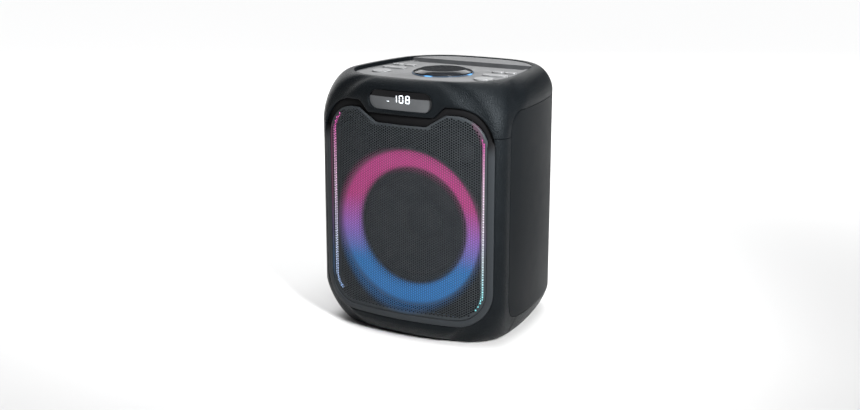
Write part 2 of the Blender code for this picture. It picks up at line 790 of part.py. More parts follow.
def add_ring_light():
    slope = math.atan2(RING_OUTER - RING_INNER, RING_BACK_Y - RING_FRONT_Y)
    down = RING_SHEET / math.sin(slope)
    profile = [
        (RING_OUTER, RING_FRONT_Y),
        (RING_INNER, RING_BACK_Y - down),
        (RING_INNER, RING_BACK_Y),
        (RING_OUTER, RING_FRONT_Y + down),
    ]
    add_object(
        "ring_light", turned(profile, centre=(0, 0, DRIVER_Z), steps=44), glow_blue
    )


def strip_outline():
    """Outline of the right light strip from the front: straight, with bent-in ends."""
    bend = STRIP_BEND
    centre_x = STRIP_X - bend
    angle = STRIP_BEND_ANGLE
    sides = []
    for radius in (bend + STRIP_WIDTH / 2, bend - STRIP_WIDTH / 2):
        low = arc((centre_x, STRIP_LOW_Z), radius, -angle, 0, 5)
        high = arc((centre_x, STRIP_HIGH_Z), radius, 0, angle, 5)
        end = (
            centre_x + radius * math.cos(angle),
            STRIP_HIGH_Z + radius * math.sin(angle),
        )
        sides.append(low + high + [end])
    return sides[0] + sides[1][::-1]


def add_light_strips():
    back = BAFFLE_FRONT_Y - GAP
    for side, name in ((-1, "light_strip_left"), (1, "light_strip_right")):
        outline = [(side * x, z) for x, z in strip_outline()]
        add_object(name, prism(outline, "Y", back - STRIP_DEPTH, back), glow_pink)


def add_woofer():
    centre = (0, 0, DRIVER_Z)
    rim_front = BAFFLE_BACK_Y + GAP
    rim_back = rim_front + WOOFER_RIM_SHEET
    throat = SURROUND_INNER + SURROUND_LAND
    floor = BASKET_BACK_Y - BASKET_FLOOR
    basket = [
        (WOOFER_RIM, rim_front),
        (SURROUND_INNER + BASKET_LIP, rim_front),
        (throat, rim_back),
        (BASKET_BACK, floor),
        (BASKET_BORE, floor),
        (BASKET_BORE, BASKET_BACK_Y),
        (BASKET_BACK + BASKET_SHEET, BASKET_BACK_Y),
        (throat + BASKET_SHEET, rim_back),
        (WOOFER_RIM, rim_back),
    ]
    add_object("woofer_basket", turned(basket, centre=centre, steps=28), cast_metal)

    lip = rim_front - GAP
    roll_outer = RING_INNER - SURROUND_LAND
    middle = (roll_outer + throat) / 2
    roll = roll_outer - middle
    front_face = [
        (
            middle + roll * math.cos(angle),
            lip - SURROUND_SHEET - roll * SURROUND_RISE * math.sin(angle),
        )
        for angle in (math.pi * step / 4 for step in range(5))
    ]
    back_face = [
        (
            middle + (roll - SURROUND_SHEET) * math.cos(angle),
            lip - (roll - SURROUND_SHEET) * SURROUND_RISE * math.sin(angle),
        )
        for angle in (math.pi * step / 4 for step in range(4, -1, -1))
    ]
    surround = [(SURROUND_OUTER, lip), (SURROUND_OUTER, lip - SURROUND_SHEET)]
    surround += front_face
    surround += [(SURROUND_INNER, lip - SURROUND_SHEET), (SURROUND_INNER, lip)]
    surround += back_face
    add_object("woofer_surround", turned(surround, centre=centre, steps=28), soft_rubber)

    edge = SURROUND_INNER - GAP
    cone = [
        (edge, CONE_EDGE_Y),
        (COIL_OUTER + GAP, CONE_NECK_Y),
        (COIL_OUTER + GAP, CONE_NECK_Y + CONE_NECK_SHEET),
        (edge, CONE_EDGE_Y + CONE_SHEET),
    ]
    bm = turned(cone, centre=centre)
    add_object("woofer_cone", bm, paper_black, origin=centre)

    slope = (CONE_NECK_Y - CONE_EDGE_Y) / (edge - COIL_OUTER)
    rest_y = CONE_EDGE_Y + slope * (edge - DUST_CAP) - 2 * GAP
    dome = [
        (DUST_CAP * math.sin(angle), rest_y - DUST_CAP_RISE * math.cos(angle))
        for angle in (math.pi / 2 * step / 4 for step in range(5))
    ]
    dome += [(0, rest_y)]
    bm = turned(dome, centre=centre, steps=20, closed=False)
    add_object("woofer_dust_cap", bm, paper_black, origin=centre)

    coil = [
        (COIL_INNER, CONE_NECK_Y),
        (COIL_OUTER, CONE_NECK_Y),
        (COIL_OUTER, COIL_BACK_Y),
        (COIL_INNER, COIL_BACK_Y),
    ]
    add_object("voice_coil", turned(coil, centre=centre, steps=20), copper, origin=centre)

    spider_y = floor - GAP
    inner = COIL_OUTER + GAP
    waves = [(inner + SPIDER_WIDTH * step / 4, (step % 2) * SPIDER_WAVE) for step in range(5)]
    top = [(radius, spider_y - SPIDER_SHEET - wave) for radius, wave in waves]
    under = [(radius, spider_y - wave) for radius, wave in waves]
    spider = turned(top + under[::-1], centre=centre, steps=20)
    add_object("woofer_spider", spider, spider_tan)

    front = BASKET_BACK_Y + GAP
    back = front + MAGNET_LENGTH
    well = COIL_BACK_Y + CONE_TRAVEL + COIL_FLOOR
    pole = COIL_INNER - GAP_WIDTH_IN
    magnet = [
        (0, front),
        (pole, front),
        (pole, well),
        (COIL_OUTER + GAP_WIDTH_OUT, well),
        (COIL_OUTER + GAP_WIDTH_OUT, front),
        (MAGNET, front),
        (MAGNET, back),
        (0, back),
    ]
    bm = turned(magnet, centre=centre, steps=24, closed=False)
    add_object("woofer_magnet", bm, dark_steel)


def add_tweeters():
    front = BAFFLE_FRONT_Y - TWEETER_PROUD
    for side, word in ((-1, "left"), (1, "right")):
        centre = (side * TWEETER_X, 0, TWEETER_Z)
        pocket = TWEETER_DOME + GAP
        depth = front + TWEETER_DOME_RISE
        housing = [
            (0, depth),
            (pocket, depth),
            (pocket, front + TWEETER_STEP),
            (pocket + TWEETER_STEP, front),
            (TWEETER_RIM, front),
            (TWEETER_RIM, front + TWEETER_FLANGE),
            (TWEETER_RIM - TWEETER_STEP, front + TWEETER_FLANGE),
            (TWEETER_RIM - TWEETER_STEP, front + TWEETER_LENGTH),
            (0, front + TWEETER_LENGTH),
        ]
        bm = turned(housing, centre=centre, steps=20, closed=False)
        add_object(f"tweeter_{word}", bm, matt_black)
        base = depth - GAP - TWEETER_TRAVEL
        dome = [
            (TWEETER_DOME * math.sin(angle), base - TWEETER_DOME_RISE * math.cos(angle))
            for angle in (math.pi / 2 * step / 3 for step in range(4))
        ]
        dome += [(0, base)]
        bm = turned(dome, centre=centre, steps=16, closed=False)
        add_object(f"tweeter_dome_{word}", bm, silk_dome, origin=centre)


def buttons():
    """Name, centre and size of each button."""
    made = []
    for side, word in ((-1, "left"), (1, "right")):
        x = side * BUTTON_X
        made.append((f"round_button_{word}", x, ROUND_BUTTON_Y, ROUND_BUTTON))
        made.append((f"long_button_{word}", x, LONG_BUTTON_Y, LONG_BUTTON))
        for place, step in (("inner", -SMALL_BUTTON_STEP), ("outer", SMALL_BUTTON_STEP)):
            shift = side * step
            name = f"small_button_{word}_{place}"
            made.append((name, x + shift, SMALL_BUTTON_Y, SMALL_BUTTON))
    return made


def groove_half():
    """Half the groove's length: it ends short of the cap's opening."""
    outline = crest_outline(PANEL_RIM + PANEL_LEDGE)
    for (x, y), (next_x, next_y) in zip(outline, outline[1:]):
        if x > 0 and y <= DECK_Y < next_y:
            return mix(x, next_x, (DECK_Y - y) / (next_y - y)) - GROOVE_END


def add_control_panel():
    low = PANEL_Z - PANEL_SHEET
    outline = crest_outline(PANEL_RIM + GAP)
    panel = add_object("control_panel", prism(outline, "Z", low, DECK_Z), panel_grey)
    front_part = box((-FAR, -FAR, PANEL_Z), (FAR, DECK_Y, FAR))
    cut(panel, add_cutter("panel_front_part", front_part))
    for name, x, y, size in buttons():
        hole = prism(pill(x, y, size, BUTTON_CLEARANCE), "Z", -FAR, FAR)
        cut(panel, add_cutter(f"hole_{name}", hole))
    dish = [
        (0, PANEL_Z - DISH_DEPTH),
        (DISH - DISH_EDGE, PANEL_Z - DISH_DEPTH),
        (DISH, PANEL_Z),
        (DISH, FAR),
        (0, FAR),
    ]
    dish = turned(dish, axis="Z", centre=(0, DIAL_Y, 0), closed=False)
    cut(panel, add_cutter("dial_dish", dish))
    hole = drill(SHAFT_HOLE, (0, DIAL_Y, 0), axis="Z")
    cut(panel, add_cutter("shaft_hole", hole))
    half = groove_half()
    groove = box((-half, GROOVE_FRONT_Y, -FAR), (half, DECK_Y - GROOVE_LAP, FAR))
    cut(panel, add_cutter("groove_hole", groove))

    rest_top = low - GAP
    rest_low = PANEL_Z - GROOVE_DEPTH - GROOVE_SHEET
    edge = GROOVE_SHEET
    rest = add_object(
        "device_rest",
        box(
            (-half - edge, GROOVE_FRONT_Y - edge, rest_low),
            (half + edge, DECK_Y + edge, rest_top),
        ),
        soft_rubber,
    )
    trough = box((-half, GROOVE_FRONT_Y, rest_low + GROOVE_SHEET), (half, DECK_Y, FAR))
    cut(rest, add_cutter("trough", trough))

    board_top = low - BUTTON_DROP - BUTTON_TRAVEL - BOARD_DROP
    board = add_object(
        "control_board",
        box(
            (-BUTTON_X - BOARD_SIDE, ROUND_BUTTON_Y - BOARD_FRONT, board_top - BOARD_SHEET),
            (BUTTON_X + BOARD_SIDE, SMALL_BUTTON_Y + BOARD_BACK, board_top),
        ),
        board_green,
    )
    encoder_hole = drill(ENCODER + GAP, (0, DIAL_Y, 0), axis="Z")
    cut(board, add_cutter("encoder_hole", encoder_hole))


def add_dial():
    origin = (0, DIAL_Y, PANEL_Z)
    dish_z = PANEL_Z - DISH_DEPTH
    glow_low = dish_z + GAP
    glow = [
        (GLOW_INNER, glow_low),
        (GLOW_OUTER, glow_low),
        (GLOW_OUTER, glow_low + GLOW_SHEET),
        (GLOW_INNER, glow_low + GLOW_SHEET),
    ]
    glow = turned(glow, axis="Z", centre=(0, DIAL_Y, 0))
    add_object("dial_light_ring", glow, glow_blue)
    low = glow_low + GLOW_SHEET + GAP
    high = PANEL_Z + DIAL_RISE
    bore_top = high - DIAL_TOP
    dial = [
        (0, high),
        (DIAL_HIGH, high),
        (DIAL_LOW, low + DIAL_SKIRT),
        (DIAL_LOW, low),
        (SHAFT + GAP, low),
        (SHAFT + GAP, bore_top),
        (0, bore_top),
    ]
    dial = turned(dial, axis="Z", centre=(0, DIAL_Y, 0), steps=36, closed=False)
    add_object("volume_dial", dial, dial_black, origin=origin)
    body_low = PANEL_Z - PANEL_SHEET - ENCODER_LENGTH
    body_high = PANEL_Z - PANEL_SHEET - GAP
    encoder = [
        (0, body_low),
        (ENCODER, body_low),
        (ENCODER, body_high),
        (SHAFT, body_high),
        (SHAFT, bore_top - GAP),
        (0, bore_top - GAP),
    ]
    encoder = turned(encoder, axis="Z", centre=(0, DIAL_Y, 0), steps=16, closed=False)
    add_object("dial_encoder", encoder, dark_steel)


def add_buttons():
    low = PANEL_Z - PANEL_SHEET - BUTTON_DROP
    high = PANEL_Z + BUTTON_RISE
    for name, x, y, size in buttons():
        bm = prism(pill(x, y, size), "Z", PANEL_Z - PANEL_SHEET + BUTTON_LIFT, high)
        top = [edge for edge in bm.edges if all(v.co.z > high - MM / 10 for v in edge.verts)]
        bmesh.ops.bevel(
            bm, geom=top, offset=BUTTON_BEVEL, segments=1, profile=0.5,
            affect="EDGES", material=-1,
        )
        button = add_object(name, bm, button_grey, origin=(x, y, PANEL_Z))
        stem = turned(
            [(0, low), (BUTTON_STEM, low), (BUTTON_STEM, PANEL_Z), (0, PANEL_Z)],
            axis="Z", centre=(x, y, 0), steps=10, closed=False,
        )
        combine(button, add_cutter(f"stem_{name}", stem), "UNION")


def add_back():
    front = BACK_Y - JACK_SETBACK - JACK_SHEET
    back = BACK_Y - JACK_SETBACK
    rim = BACK_Y - JACK_RIM_SETBACK
    panel = add_object("jack_panel", prism(jack_outline(0), "Y", front, rim), matt_black)
    pocket = prism(jack_outline(-JACK_RIM), "Y", back, FAR)
    cut(panel, add_cutter("jack_pocket", pocket))
    for name, x, size, bore in SOCKETS:
        is_round = size[0] == size[1]

        def outline(shape, grow, x=x, is_round=is_round):
            if is_round:
                return pill(x, SOCKET_Z, shape, grow)
            width, height = shape[0] / 2 + grow, shape[1] / 2 + grow
            low, high = SOCKET_Z - height, SOCKET_Z + height
            left, right = x - width, x + width
            corners = [(left, low), (right, low), (right, high), (left, high)]
            return rounded([(u, v, SOCKET_ROUND) for u, v in corners], 2)

        cut(panel, add_cutter(f"hole_{name}", prism(outline(size, GAP), "Y", -FAR, FAR)))
        body = prism(outline(size, 0), "Y", front - SOCKET_LENGTH, back + SOCKET_PROUD)
        socket = add_object(name, body, dark_steel)
        hollow = prism(outline(bore, 0), "Y", front - SOCKET_BORE_LENGTH, FAR)
        cut(socket, add_cutter(f"bore_{name}", hollow))
    for x, z, name in jack_screw_places():
        well = drill(SCREW_SHANK + GAP, (x, 0, z), steps=8)
        cut(panel, add_cutter(f"well_{name}", well))
        profile = screw_profile(back + GAP, 1, JACK_SCREW_LENGTH)
        screw = turned(profile, centre=(x, 0, z), steps=10, closed=False)
        add_object(name, screw, dark_steel)

    mouth_y = BACK_Y - PORT_SETBACK
    bend = PORT_MOUTH - PORT_BORE - PORT_SHEET
    inside = [
        (PORT_MOUTH - PORT_SHEET - bend * math.sin(angle), mouth_y - bend * (1 - math.cos(angle)))
        for angle in (math.pi / 2 * step / 3 for step in range(4))
    ]
    outside = [
        (PORT_MOUTH - bend * math.sin(angle), mouth_y - PORT_LIP - bend * (1 - math.cos(angle)))
        for angle in (math.pi / 2 * step / 3 for step in range(4))
    ]
    tail = mouth_y - PORT_LENGTH
    profile = inside + [(PORT_BORE, tail), (PORT_BORE + PORT_SHEET, tail)] + outside[::-1]
    profile += [(PORT_MOUTH, mouth_y)]
    port = turned(profile, centre=(0, 0, PORT_Z), steps=24)
    add_object("bass_port", port, matt_black)


def screw_profile(face, direction, length):
    """Pan-head screw along its axis: the head stands from face, the shank goes in."""
    head = face + direction * SCREW_HEAD_HEIGHT
    tip = face - direction * length
    return [
        (0, head),
        (SCREW_HEAD * 0.6, head),
        (SCREW_HEAD, face + direction * SCREW_HEAD_HEIGHT * 0.4),
        (SCREW_HEAD, face),
        (SCREW_SHANK, face),
        (SCREW_SHANK, tip),
        (0, tip),
    ]


def jack_screw_places():
    x = JACK_HALF - JACK_CORNER
    low, high = JACK_LOW_Z + JACK_CORNER, JACK_HIGH_Z - JACK_CORNER
    corners = [(-x, low), (x, low), (x, high), (-x, high)]
    return [(px, pz, f"jack_screw_{n}") for n, (px, pz) in enumerate(corners, 1)]


def base_screw_places():
    x, front, back = BASE_SCREW_X, BASE_SCREW_FRONT_Y, BASE_SCREW_BACK_Y
    corners = [(-x, front), (x, front), (x, back), (-x, back)]
    return [(x, y, f"base_screw_{n}") for n, (x, y) in enumerate(corners, 1)]


def foot_places():
    places = []
    for word, (x, y) in (("front", FRONT_FOOT), ("back", BACK_FOOT)):
        places.append((-x, y, f"foot_{word}_left"))
        places.append((x, y, f"foot_{word}_right"))
    return places


def add_base_parts():
    for x, y, name in foot_places():
        profile = [
            (0, -FOOT_DROP),
            (FOOT - FOOT_ROUND, -FOOT_DROP),
            (FOOT, -FOOT_DROP + FOOT_ROUND),
            (FOOT, -GAP),
            (FOOT_INSERT, -GAP),
            (FOOT_INSERT, WALL + FOOT_INSERT_RISE),
            (0, WALL + FOOT_INSERT_RISE),
        ]
        foot = turned(profile, axis="Z", centre=(x, y, 0), steps=16, closed=False)
        add_object(name, foot, soft_rubber)
    for x, y, name in base_screw_places():
        profile = screw_profile(-GAP, -1, BASE_SCREW_LENGTH)
        screw = turned(profile, axis="Z", centre=(x, y, 0), steps=10, closed=False)
        add_object(name, screw, dark_steel)

    width, depth, height = BATTERY
    low = WALL + BATTERY_LIFT
    battery = box(
        (-width / 2, BATTERY_Y - depth / 2, low),
        (width / 2, BATTERY_Y + depth / 2, low + height),
    )
    bmesh.ops.bevel(
        battery, geom=battery.edges[:], offset=BATTERY_ROUND, segments=2, profile=0.5,
        affect="EDGES", material=-1,
    )
    add_object("battery_pack", battery, battery_blue)

    width, depth = AMPLIFIER
    low = WALL + AMPLIFIER_LIFT
    board = box(
        (-width / 2, AMPLIFIER_Y - depth / 2, low),
        (width / 2, AMPLIFIER_Y + depth / 2, low + BOARD_SHEET),
    )
    add_object("amplifier_board", board, board_green)
    width, depth, height = HEAT_SINK
    low += BOARD_SHEET + GAP
    sink = box(
        (-width / 2, AMPLIFIER_Y - depth / 2, low),
        (width / 2, AMPLIFIER_Y + depth / 2, low + height),
    )
    sink = add_object("heat_sink", sink, cast_metal)
    slots = bmesh.new()
    for number in range(FIN_SLOTS):
        slot = bmesh.ops.create_cube(slots, size=1)["verts"]
        bmesh.ops.scale(slots, verts=slot, vec=(FIN_STEP / 2, depth * 2, height))
        middle_x = -width / 2 + (number + 1) * FIN_STEP
        middle = (middle_x, AMPLIFIER_Y, low + height / 2 + HEAT_SINK_FLOOR)
        bmesh.ops.translate(slots, verts=slot, vec=middle)
    cut(sink, add_cutter("fin_slots", slots))


clear_scene()
rig = bpy.data.objects.new("speaker", None)
bpy.context.scene.collection.objects.link(rig)
rig.location = (0, 0, FOOT_DROP)

grained = material("grained_black", (0.018, 0.020, 0.022), 0.5)
smooth_black = material("smooth_black", (0.022, 0.024, 0.026), 0.42)
trim_grey = material("trim_grey", (0.045, 0.047, 0.052), 0.4)
sheet_metal = material("sheet_metal", (0.05, 0.052, 0.055), 0.4, 1.0)
matt_black = material("matt_black", (0.01, 0.01, 0.011), 0.65)
glossy_black = material("glossy_black", (0.01, 0.01, 0.012), 0.08)
panel_grey = material("panel_grey", (0.05, 0.052, 0.056), 0.3)
dial_black = material("dial_black", (0.03, 0.03, 0.033), 0.2, 0.6)
button_grey = material("button_grey", (0.09, 0.09, 0.095), 0.35)
soft_rubber = material("soft_rubber", (0.012, 0.012, 0.013), 0.8)
paper_black = material("paper_black", (0.02, 0.02, 0.022), 0.7)
silk_dome = material("silk_dome", (0.03, 0.03, 0.033), 0.4)
cast_metal = material("cast_metal", (0.25, 0.25, 0.26), 0.45, 0.9)
dark_steel = material("dark_steel", (0.12, 0.12, 0.13), 0.35, 0.9)
copper = material("copper", (0.55, 0.25, 0.12), 0.35, 0.9)
spider_tan = material("spider_tan", (0.45, 0.28, 0.12), 0.8)
board_green = material("board_green", (0.02, 0.11, 0.05), 0.5)
battery_blue = material("battery_blue", (0.03, 0.07, 0.2), 0.4)
glow_blue = material("glow_blue", (0.05, 0.25, 0.75), 0.4, 0.0, 1.5)
glow_pink = material("glow_pink", (0.8, 0.1, 0.5), 0.4, 0.0, 1.5)

add_shells()
add_grille()
add_display()
add_baffle()
add_ring_light()
add_light_strips()
add_woofer()
add_tweeters()
add_control_panel()
add_dial()
add_buttons()
add_back()
add_base_parts()
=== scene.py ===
"""Looks of the party speaker: fine shells, perforated grille, lights, controls and finishes.

Metres, +Z up, front towards -Y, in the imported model's frame.
"""

import json
import math

import bmesh
import bpy
from mathutils import Matrix, Vector
from mathutils.bvhtree import BVHTree


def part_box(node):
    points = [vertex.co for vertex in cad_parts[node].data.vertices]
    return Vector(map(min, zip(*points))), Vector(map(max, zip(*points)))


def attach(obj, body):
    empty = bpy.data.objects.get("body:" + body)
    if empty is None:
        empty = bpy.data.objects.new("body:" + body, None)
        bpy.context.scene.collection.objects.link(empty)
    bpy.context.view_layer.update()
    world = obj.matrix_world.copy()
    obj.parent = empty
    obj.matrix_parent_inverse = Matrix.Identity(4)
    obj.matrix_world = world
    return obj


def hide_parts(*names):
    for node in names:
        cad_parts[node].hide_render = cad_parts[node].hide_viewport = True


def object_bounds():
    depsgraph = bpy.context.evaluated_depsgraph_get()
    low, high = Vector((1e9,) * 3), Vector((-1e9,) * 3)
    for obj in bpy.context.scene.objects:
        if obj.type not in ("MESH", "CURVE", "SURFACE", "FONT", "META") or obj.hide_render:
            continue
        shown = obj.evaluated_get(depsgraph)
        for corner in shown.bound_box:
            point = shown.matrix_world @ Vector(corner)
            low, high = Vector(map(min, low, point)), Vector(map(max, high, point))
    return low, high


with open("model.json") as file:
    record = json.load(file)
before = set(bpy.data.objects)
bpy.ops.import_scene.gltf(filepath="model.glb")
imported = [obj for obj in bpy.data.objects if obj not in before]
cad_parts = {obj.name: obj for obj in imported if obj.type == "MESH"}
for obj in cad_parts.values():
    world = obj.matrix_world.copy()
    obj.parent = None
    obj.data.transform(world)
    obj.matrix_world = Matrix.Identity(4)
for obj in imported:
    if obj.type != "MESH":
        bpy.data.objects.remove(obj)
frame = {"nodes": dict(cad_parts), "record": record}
cad_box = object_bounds()

MM = 0.001
GAP = 0.3 * MM  # between pieces that rest against each other
SEAM = 0.7 * MM  # visible width of the seams between the shells
FAR = 0.4  # past every face, for cutting through
SLOTS = {part["node"]: part["material_slot"] for part in frame["record"]["subparts"]}

# Places read from the frame.
HALF_WIDTH = cad_box[1].x
FRONT_Y = cad_box[0].y
BACK_Y = cad_box[1].y
TOP_Z = cad_box[1].z
UNDER_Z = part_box("base_pan")[0].z
CAP_SEAM_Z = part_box("top_cap")[0].z - GAP / 2
SHELL_LOW, SHELL_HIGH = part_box("rear_shell")
TRIM_LOW, TRIM_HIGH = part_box("grille_trim")
GRILLE_LOW, GRILLE_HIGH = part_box("grille")
LENS_LOW, LENS_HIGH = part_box("display_lens")
RING_LOW, RING_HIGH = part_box("ring_light")
DRIVER_Z = (RING_LOW.z + RING_HIGH.z) / 2
PANEL_LOW, PANEL_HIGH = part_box("control_panel")
REST_LOW, REST_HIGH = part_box("device_rest")
DIAL_LOW, DIAL_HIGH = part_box("volume_dial")
DIAL_Y = (DIAL_LOW.y + DIAL_HIGH.y) / 2

# Plan shape of the cabinet: four bowed sides, joined by round corners.
FRONT_BOW = 327 * MM
SIDE_BOW = 440 * MM
BACK_BOW = 310 * MM
FRONT_CORNER = 19 * MM
BACK_CORNER = 68 * MM
WIDEST_Y = FRONT_Y + 72 * MM
CREST_INSETS = (14 * MM, 20.5 * MM, 12 * MM)  # front, sides, back
CREST_FRONT_CORNER = 64 * MM
SOLE_INSETS = (14.5 * MM, 17.5 * MM, 20 * MM)
SOLE_FRONT_CORNER = 50 * MM
TOP_ROLL = (24 * MM, 58 * MM, 28 * MM)  # height at front middle, front corner, side
SOLE_ROLL = (16 * MM, 50 * MM, 30 * MM)
TOP_POWER = 1.7
SOLE_POWER = 1.4
ROLL_CORNER_X = HALF_WIDTH - 64.7 * MM
ROLL_CORNER_SPAN = 49.8 * MM
ROLL_SIDE_Y = FRONT_Y + 17.5 * MM
ROLL_SIDE_SPAN = 70.2 * MM
WALL = 3 * MM
FRONT_WALL = 7 * MM
ROOF_WALL = 11.5 * MM
SHELL_CORNER = 24 * MM

# Front opening and grille, as outlines seen from the front.
OPENING_HALF = TRIM_HIGH.x + GAP
OPENING_LOW_Z = TRIM_LOW.z - GAP
OPENING_LOW_CORNER = 44 * MM
HUMP_Z = TRIM_HIGH.z + GAP
HUMP_CORNER = 46 * MM
CHIN_Z = HUMP_Z - 13 * MM
CHIN_HALF = 43 * MM
CHIN_SLOPE = 13 * MM
GRILLE_HALF = GRILLE_HIGH.x
GRILLE_LOW_CORNER = 36 * MM
GRILLE_HIGH_CORNER = 38 * MM
NOTCH_Z = CHIN_Z - 11 * MM
NOTCH_HALF = 33 * MM
NOTCH_SLOPE = 24 * MM
GRILLE_SETBACK = 1.2 * MM
GRILLE_SHEET = 0.5 * MM
HOLE_PITCH = 3 * MM
HOLE_RADIUS = 1.15 * MM
TRIM_STEP = 4.5 * MM  # how far the trim drops back under the cap
TRIM_STEP_Z = CAP_SEAM_Z - 9 * MM
TRIM_STEP_RUN = 7 * MM

# Top.
PANEL_RIM = 4.5 * MM
PANEL_LEDGE = 3 * MM
PANEL_SHEET = 3 * MM
PANEL_Z = PANEL_LOW.z + PANEL_SHEET
DECK_Y = REST_HIGH.y - 1.2 * MM
DISH = 42.5 * MM  # radius of the hollow round the dial
DISH_DEPTH = 0.8 * MM
GROOVE_FRONT_Y = REST_LOW.y + 1.2 * MM
GROOVE_HALF = REST_HIGH.x - 1.2 * MM
BUTTON_GAP = 0.4 * MM
BUTTONS = [
    f"{kind}_{side}{place}" for side in ("left", "right")
    for kind, place in (("round_button", ""), ("long_button", ""),
                        ("small_button", "_inner"), ("small_button", "_outer"))
]

# Back.
JACK_CORNER = 8 * MM
SOCKET_BORES = {  # a socket without a bore has the flat mouth of a USB port
    "mic_socket": 6.5 * MM,
    "aux_socket": 3.6 * MM,
    "usb_socket": 0,
    "power_inlet": 6.4 * MM,
}
FLAT_MOUTH = Vector((6.1 * MM, 0, 2.6 * MM))  # half its width and height


def shape_box(node):
    """Low corner, high corner and middle of a CAD node's box."""
    low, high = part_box(node)
    return low, high, (low + high) / 2


def mix(low, high, share):
    return low + (high - low) * share


def smooth_step(value):
    value = min(max(value, 0), 1)
    return value * value * (3 - 2 * value)


def quarter(steps):
    """Angles of a quarter turn, with both its ends."""
    return [math.pi / 2 * step / steps for step in range(steps + 1)]


def arc(centre, radius, start, end, steps):
    """Points along an arc, without its last one."""
    angles = [mix(start, end, step / steps) for step in range(steps)]
    return [
        (centre[0] + radius * math.cos(angle), centre[1] + radius * math.sin(angle))
        for angle in angles
    ]


def corner_centre(bow_centre, bow, side_centre, side, radius, towards):
    """Centre of the corner arc that runs smoothly into two bowed sides."""
    across = Vector(side_centre) - Vector(bow_centre)
    distance = across.length
    from_bow = bow - radius
    from_side = side - radius
    along = (from_bow**2 - from_side**2 + distance**2) / (2 * distance)
    aside = math.sqrt(from_bow**2 - along**2)
    unit = across / distance
    normal = Vector((-unit.y, unit.x))
    ends = [Vector(bow_centre) + unit * along + normal * aside * sign for sign in (1, -1)]
    return max(ends, key=lambda point: point.x + towards * point.y)


def plan_outline(insets, front_corner, back_corner, fine):
    """Outline of the cabinet in plan, moved in from the walls, from the front middle on."""
    front = Vector((0, FRONT_Y + FRONT_BOW))
    side = Vector((HALF_WIDTH - SIDE_BOW, WIDEST_Y))
    back = Vector((0, BACK_Y - BACK_BOW))
    bow, flank, rear = FRONT_BOW - insets[0], SIDE_BOW - insets[1], BACK_BOW - insets[2]
    near = corner_centre(front, bow, side, flank, front_corner, -1)
    far = corner_centre(back, rear, side, flank, back_corner, 1)
    turns = [
        -math.pi / 2,
        math.atan2(*(near - front).yx),
        math.atan2(*(near - side).yx),
        math.atan2(*(far - side).yx),
        math.atan2(*(far - back).yx),
        math.pi / 2,
    ]
    half = arc(front, bow, turns[0], turns[1], 5 * fine)
    half += arc(near, front_corner, turns[1], turns[2], 3 * fine)
    half += arc(side, flank, turns[2], turns[3], 4 * fine)
    half += arc(far, back_corner, turns[3], turns[4], 5 * fine)
    half += arc(back, rear, turns[4], turns[5], 4 * fine)
    mirrored = [(-x, y) for x, y in reversed(half[1:])]
    return half + [(0, back.y + rear)] + mirrored


def crest_outline(inset, fine=6):
    insets = [value + inset for value in CREST_INSETS]
    return plan_outline(insets, CREST_FRONT_CORNER - inset, BACK_CORNER - inset, fine)


def sole_outline(inset, fine=6):
    insets = [value + inset for value in SOLE_INSETS]
    return plan_outline(insets, SOLE_FRONT_CORNER - inset, BACK_CORNER - inset, fine)


def roll_height(heights, x, y):
    """Height of the rolled edge at a point of the wall."""
    middle, corner, side = heights
    across = smooth_step((abs(x) - ROLL_CORNER_X) / ROLL_CORNER_SPAN)
    along = smooth_step((y - ROLL_SIDE_Y) / ROLL_SIDE_SPAN)
    return mix(mix(middle, corner, across), side, along)


def roll_rings(base, end, start, limit, power, steps):
    """Rings of a rolled edge: from the wall, where start gives its height, to the limit."""
    rings = []
    for angle in quarter(steps):
        out = max(math.cos(angle), 0) ** (2 / power)
        up = math.sin(angle) ** (2 / power)
        rings.append([
            (mix(end_x, x, out), mix(end_y, y, out), mix(start(x, y), limit, up))
            for (x, y), (end_x, end_y) in zip(base, end)
        ])
    return rings


def cabinet(wall=0.0, front_wall=0.0, floor=0.0, roof=0.0, steps=20, fine=6):
    """The cabinet's outside, or with walls its hollow, as a closed solid."""
    insets = (front_wall, wall, wall)
    base = plan_outline(insets, FRONT_CORNER - wall, BACK_CORNER - wall, fine)
    low = roll_rings(
        base, sole_outline(wall, fine),
        lambda x, y: UNDER_Z + roll_height(SOLE_ROLL, x, y), UNDER_Z + floor, SOLE_POWER, steps,
    )
    high = roll_rings(
        base, crest_outline(front_wall, fine),
        lambda x, y: TOP_Z - roll_height(TOP_ROLL, x, y), TOP_Z - roof, TOP_POWER, steps,
    )
    return loft(low[::-1] + high)


def extend(bm, verts, edges, loops):
    """Carries a closed chain of edges on through loops with the same number of points."""
    for loop in loops:
        made = bmesh.ops.extrude_edge_only(bm, edges=edges)["geom"]
        fresh = {item for item in made if isinstance(item, bmesh.types.BMVert)}
        for number, point in enumerate(loop):
            twins = [edge.other_vert(verts[number]) for edge in verts[number].link_edges]
            verts[number] = next(vert for vert in twins if vert in fresh)
            verts[number].co = point
        edges = [
            item for item in made
            if isinstance(item, bmesh.types.BMEdge) and fresh.issuperset(item.verts)
        ]


def chain(bm, loop):
    """A closed chain of edges through points."""
    verts = [bm.verts.new(point) for point in loop]
    return verts, [bm.edges.new(pair) for pair in zip(verts, verts[1:] + verts[:1])]


def sleeve(loops, closed=False):
    """Surface through loops with the same number of points; closed, the last meets the first."""
    bm = bmesh.new()
    verts, edges = chain(bm, loops[0])
    extend(bm, verts, edges, loops[1:] + (loops[:1] if closed else []))
    if closed:
        bmesh.ops.remove_doubles(bm, verts=bm.verts, dist=0.001 * MM)
    return bm


def loft(loops):
    """Closed solid through loops of points, with flat or filled ends."""
    bm = sleeve(loops)
    open_edges = [edge for edge in bm.edges if edge.is_boundary]
    bmesh.ops.holes_fill(bm, edges=open_edges, sides=0)
    bmesh.ops.recalc_face_normals(bm, faces=bm.faces)
    return bm


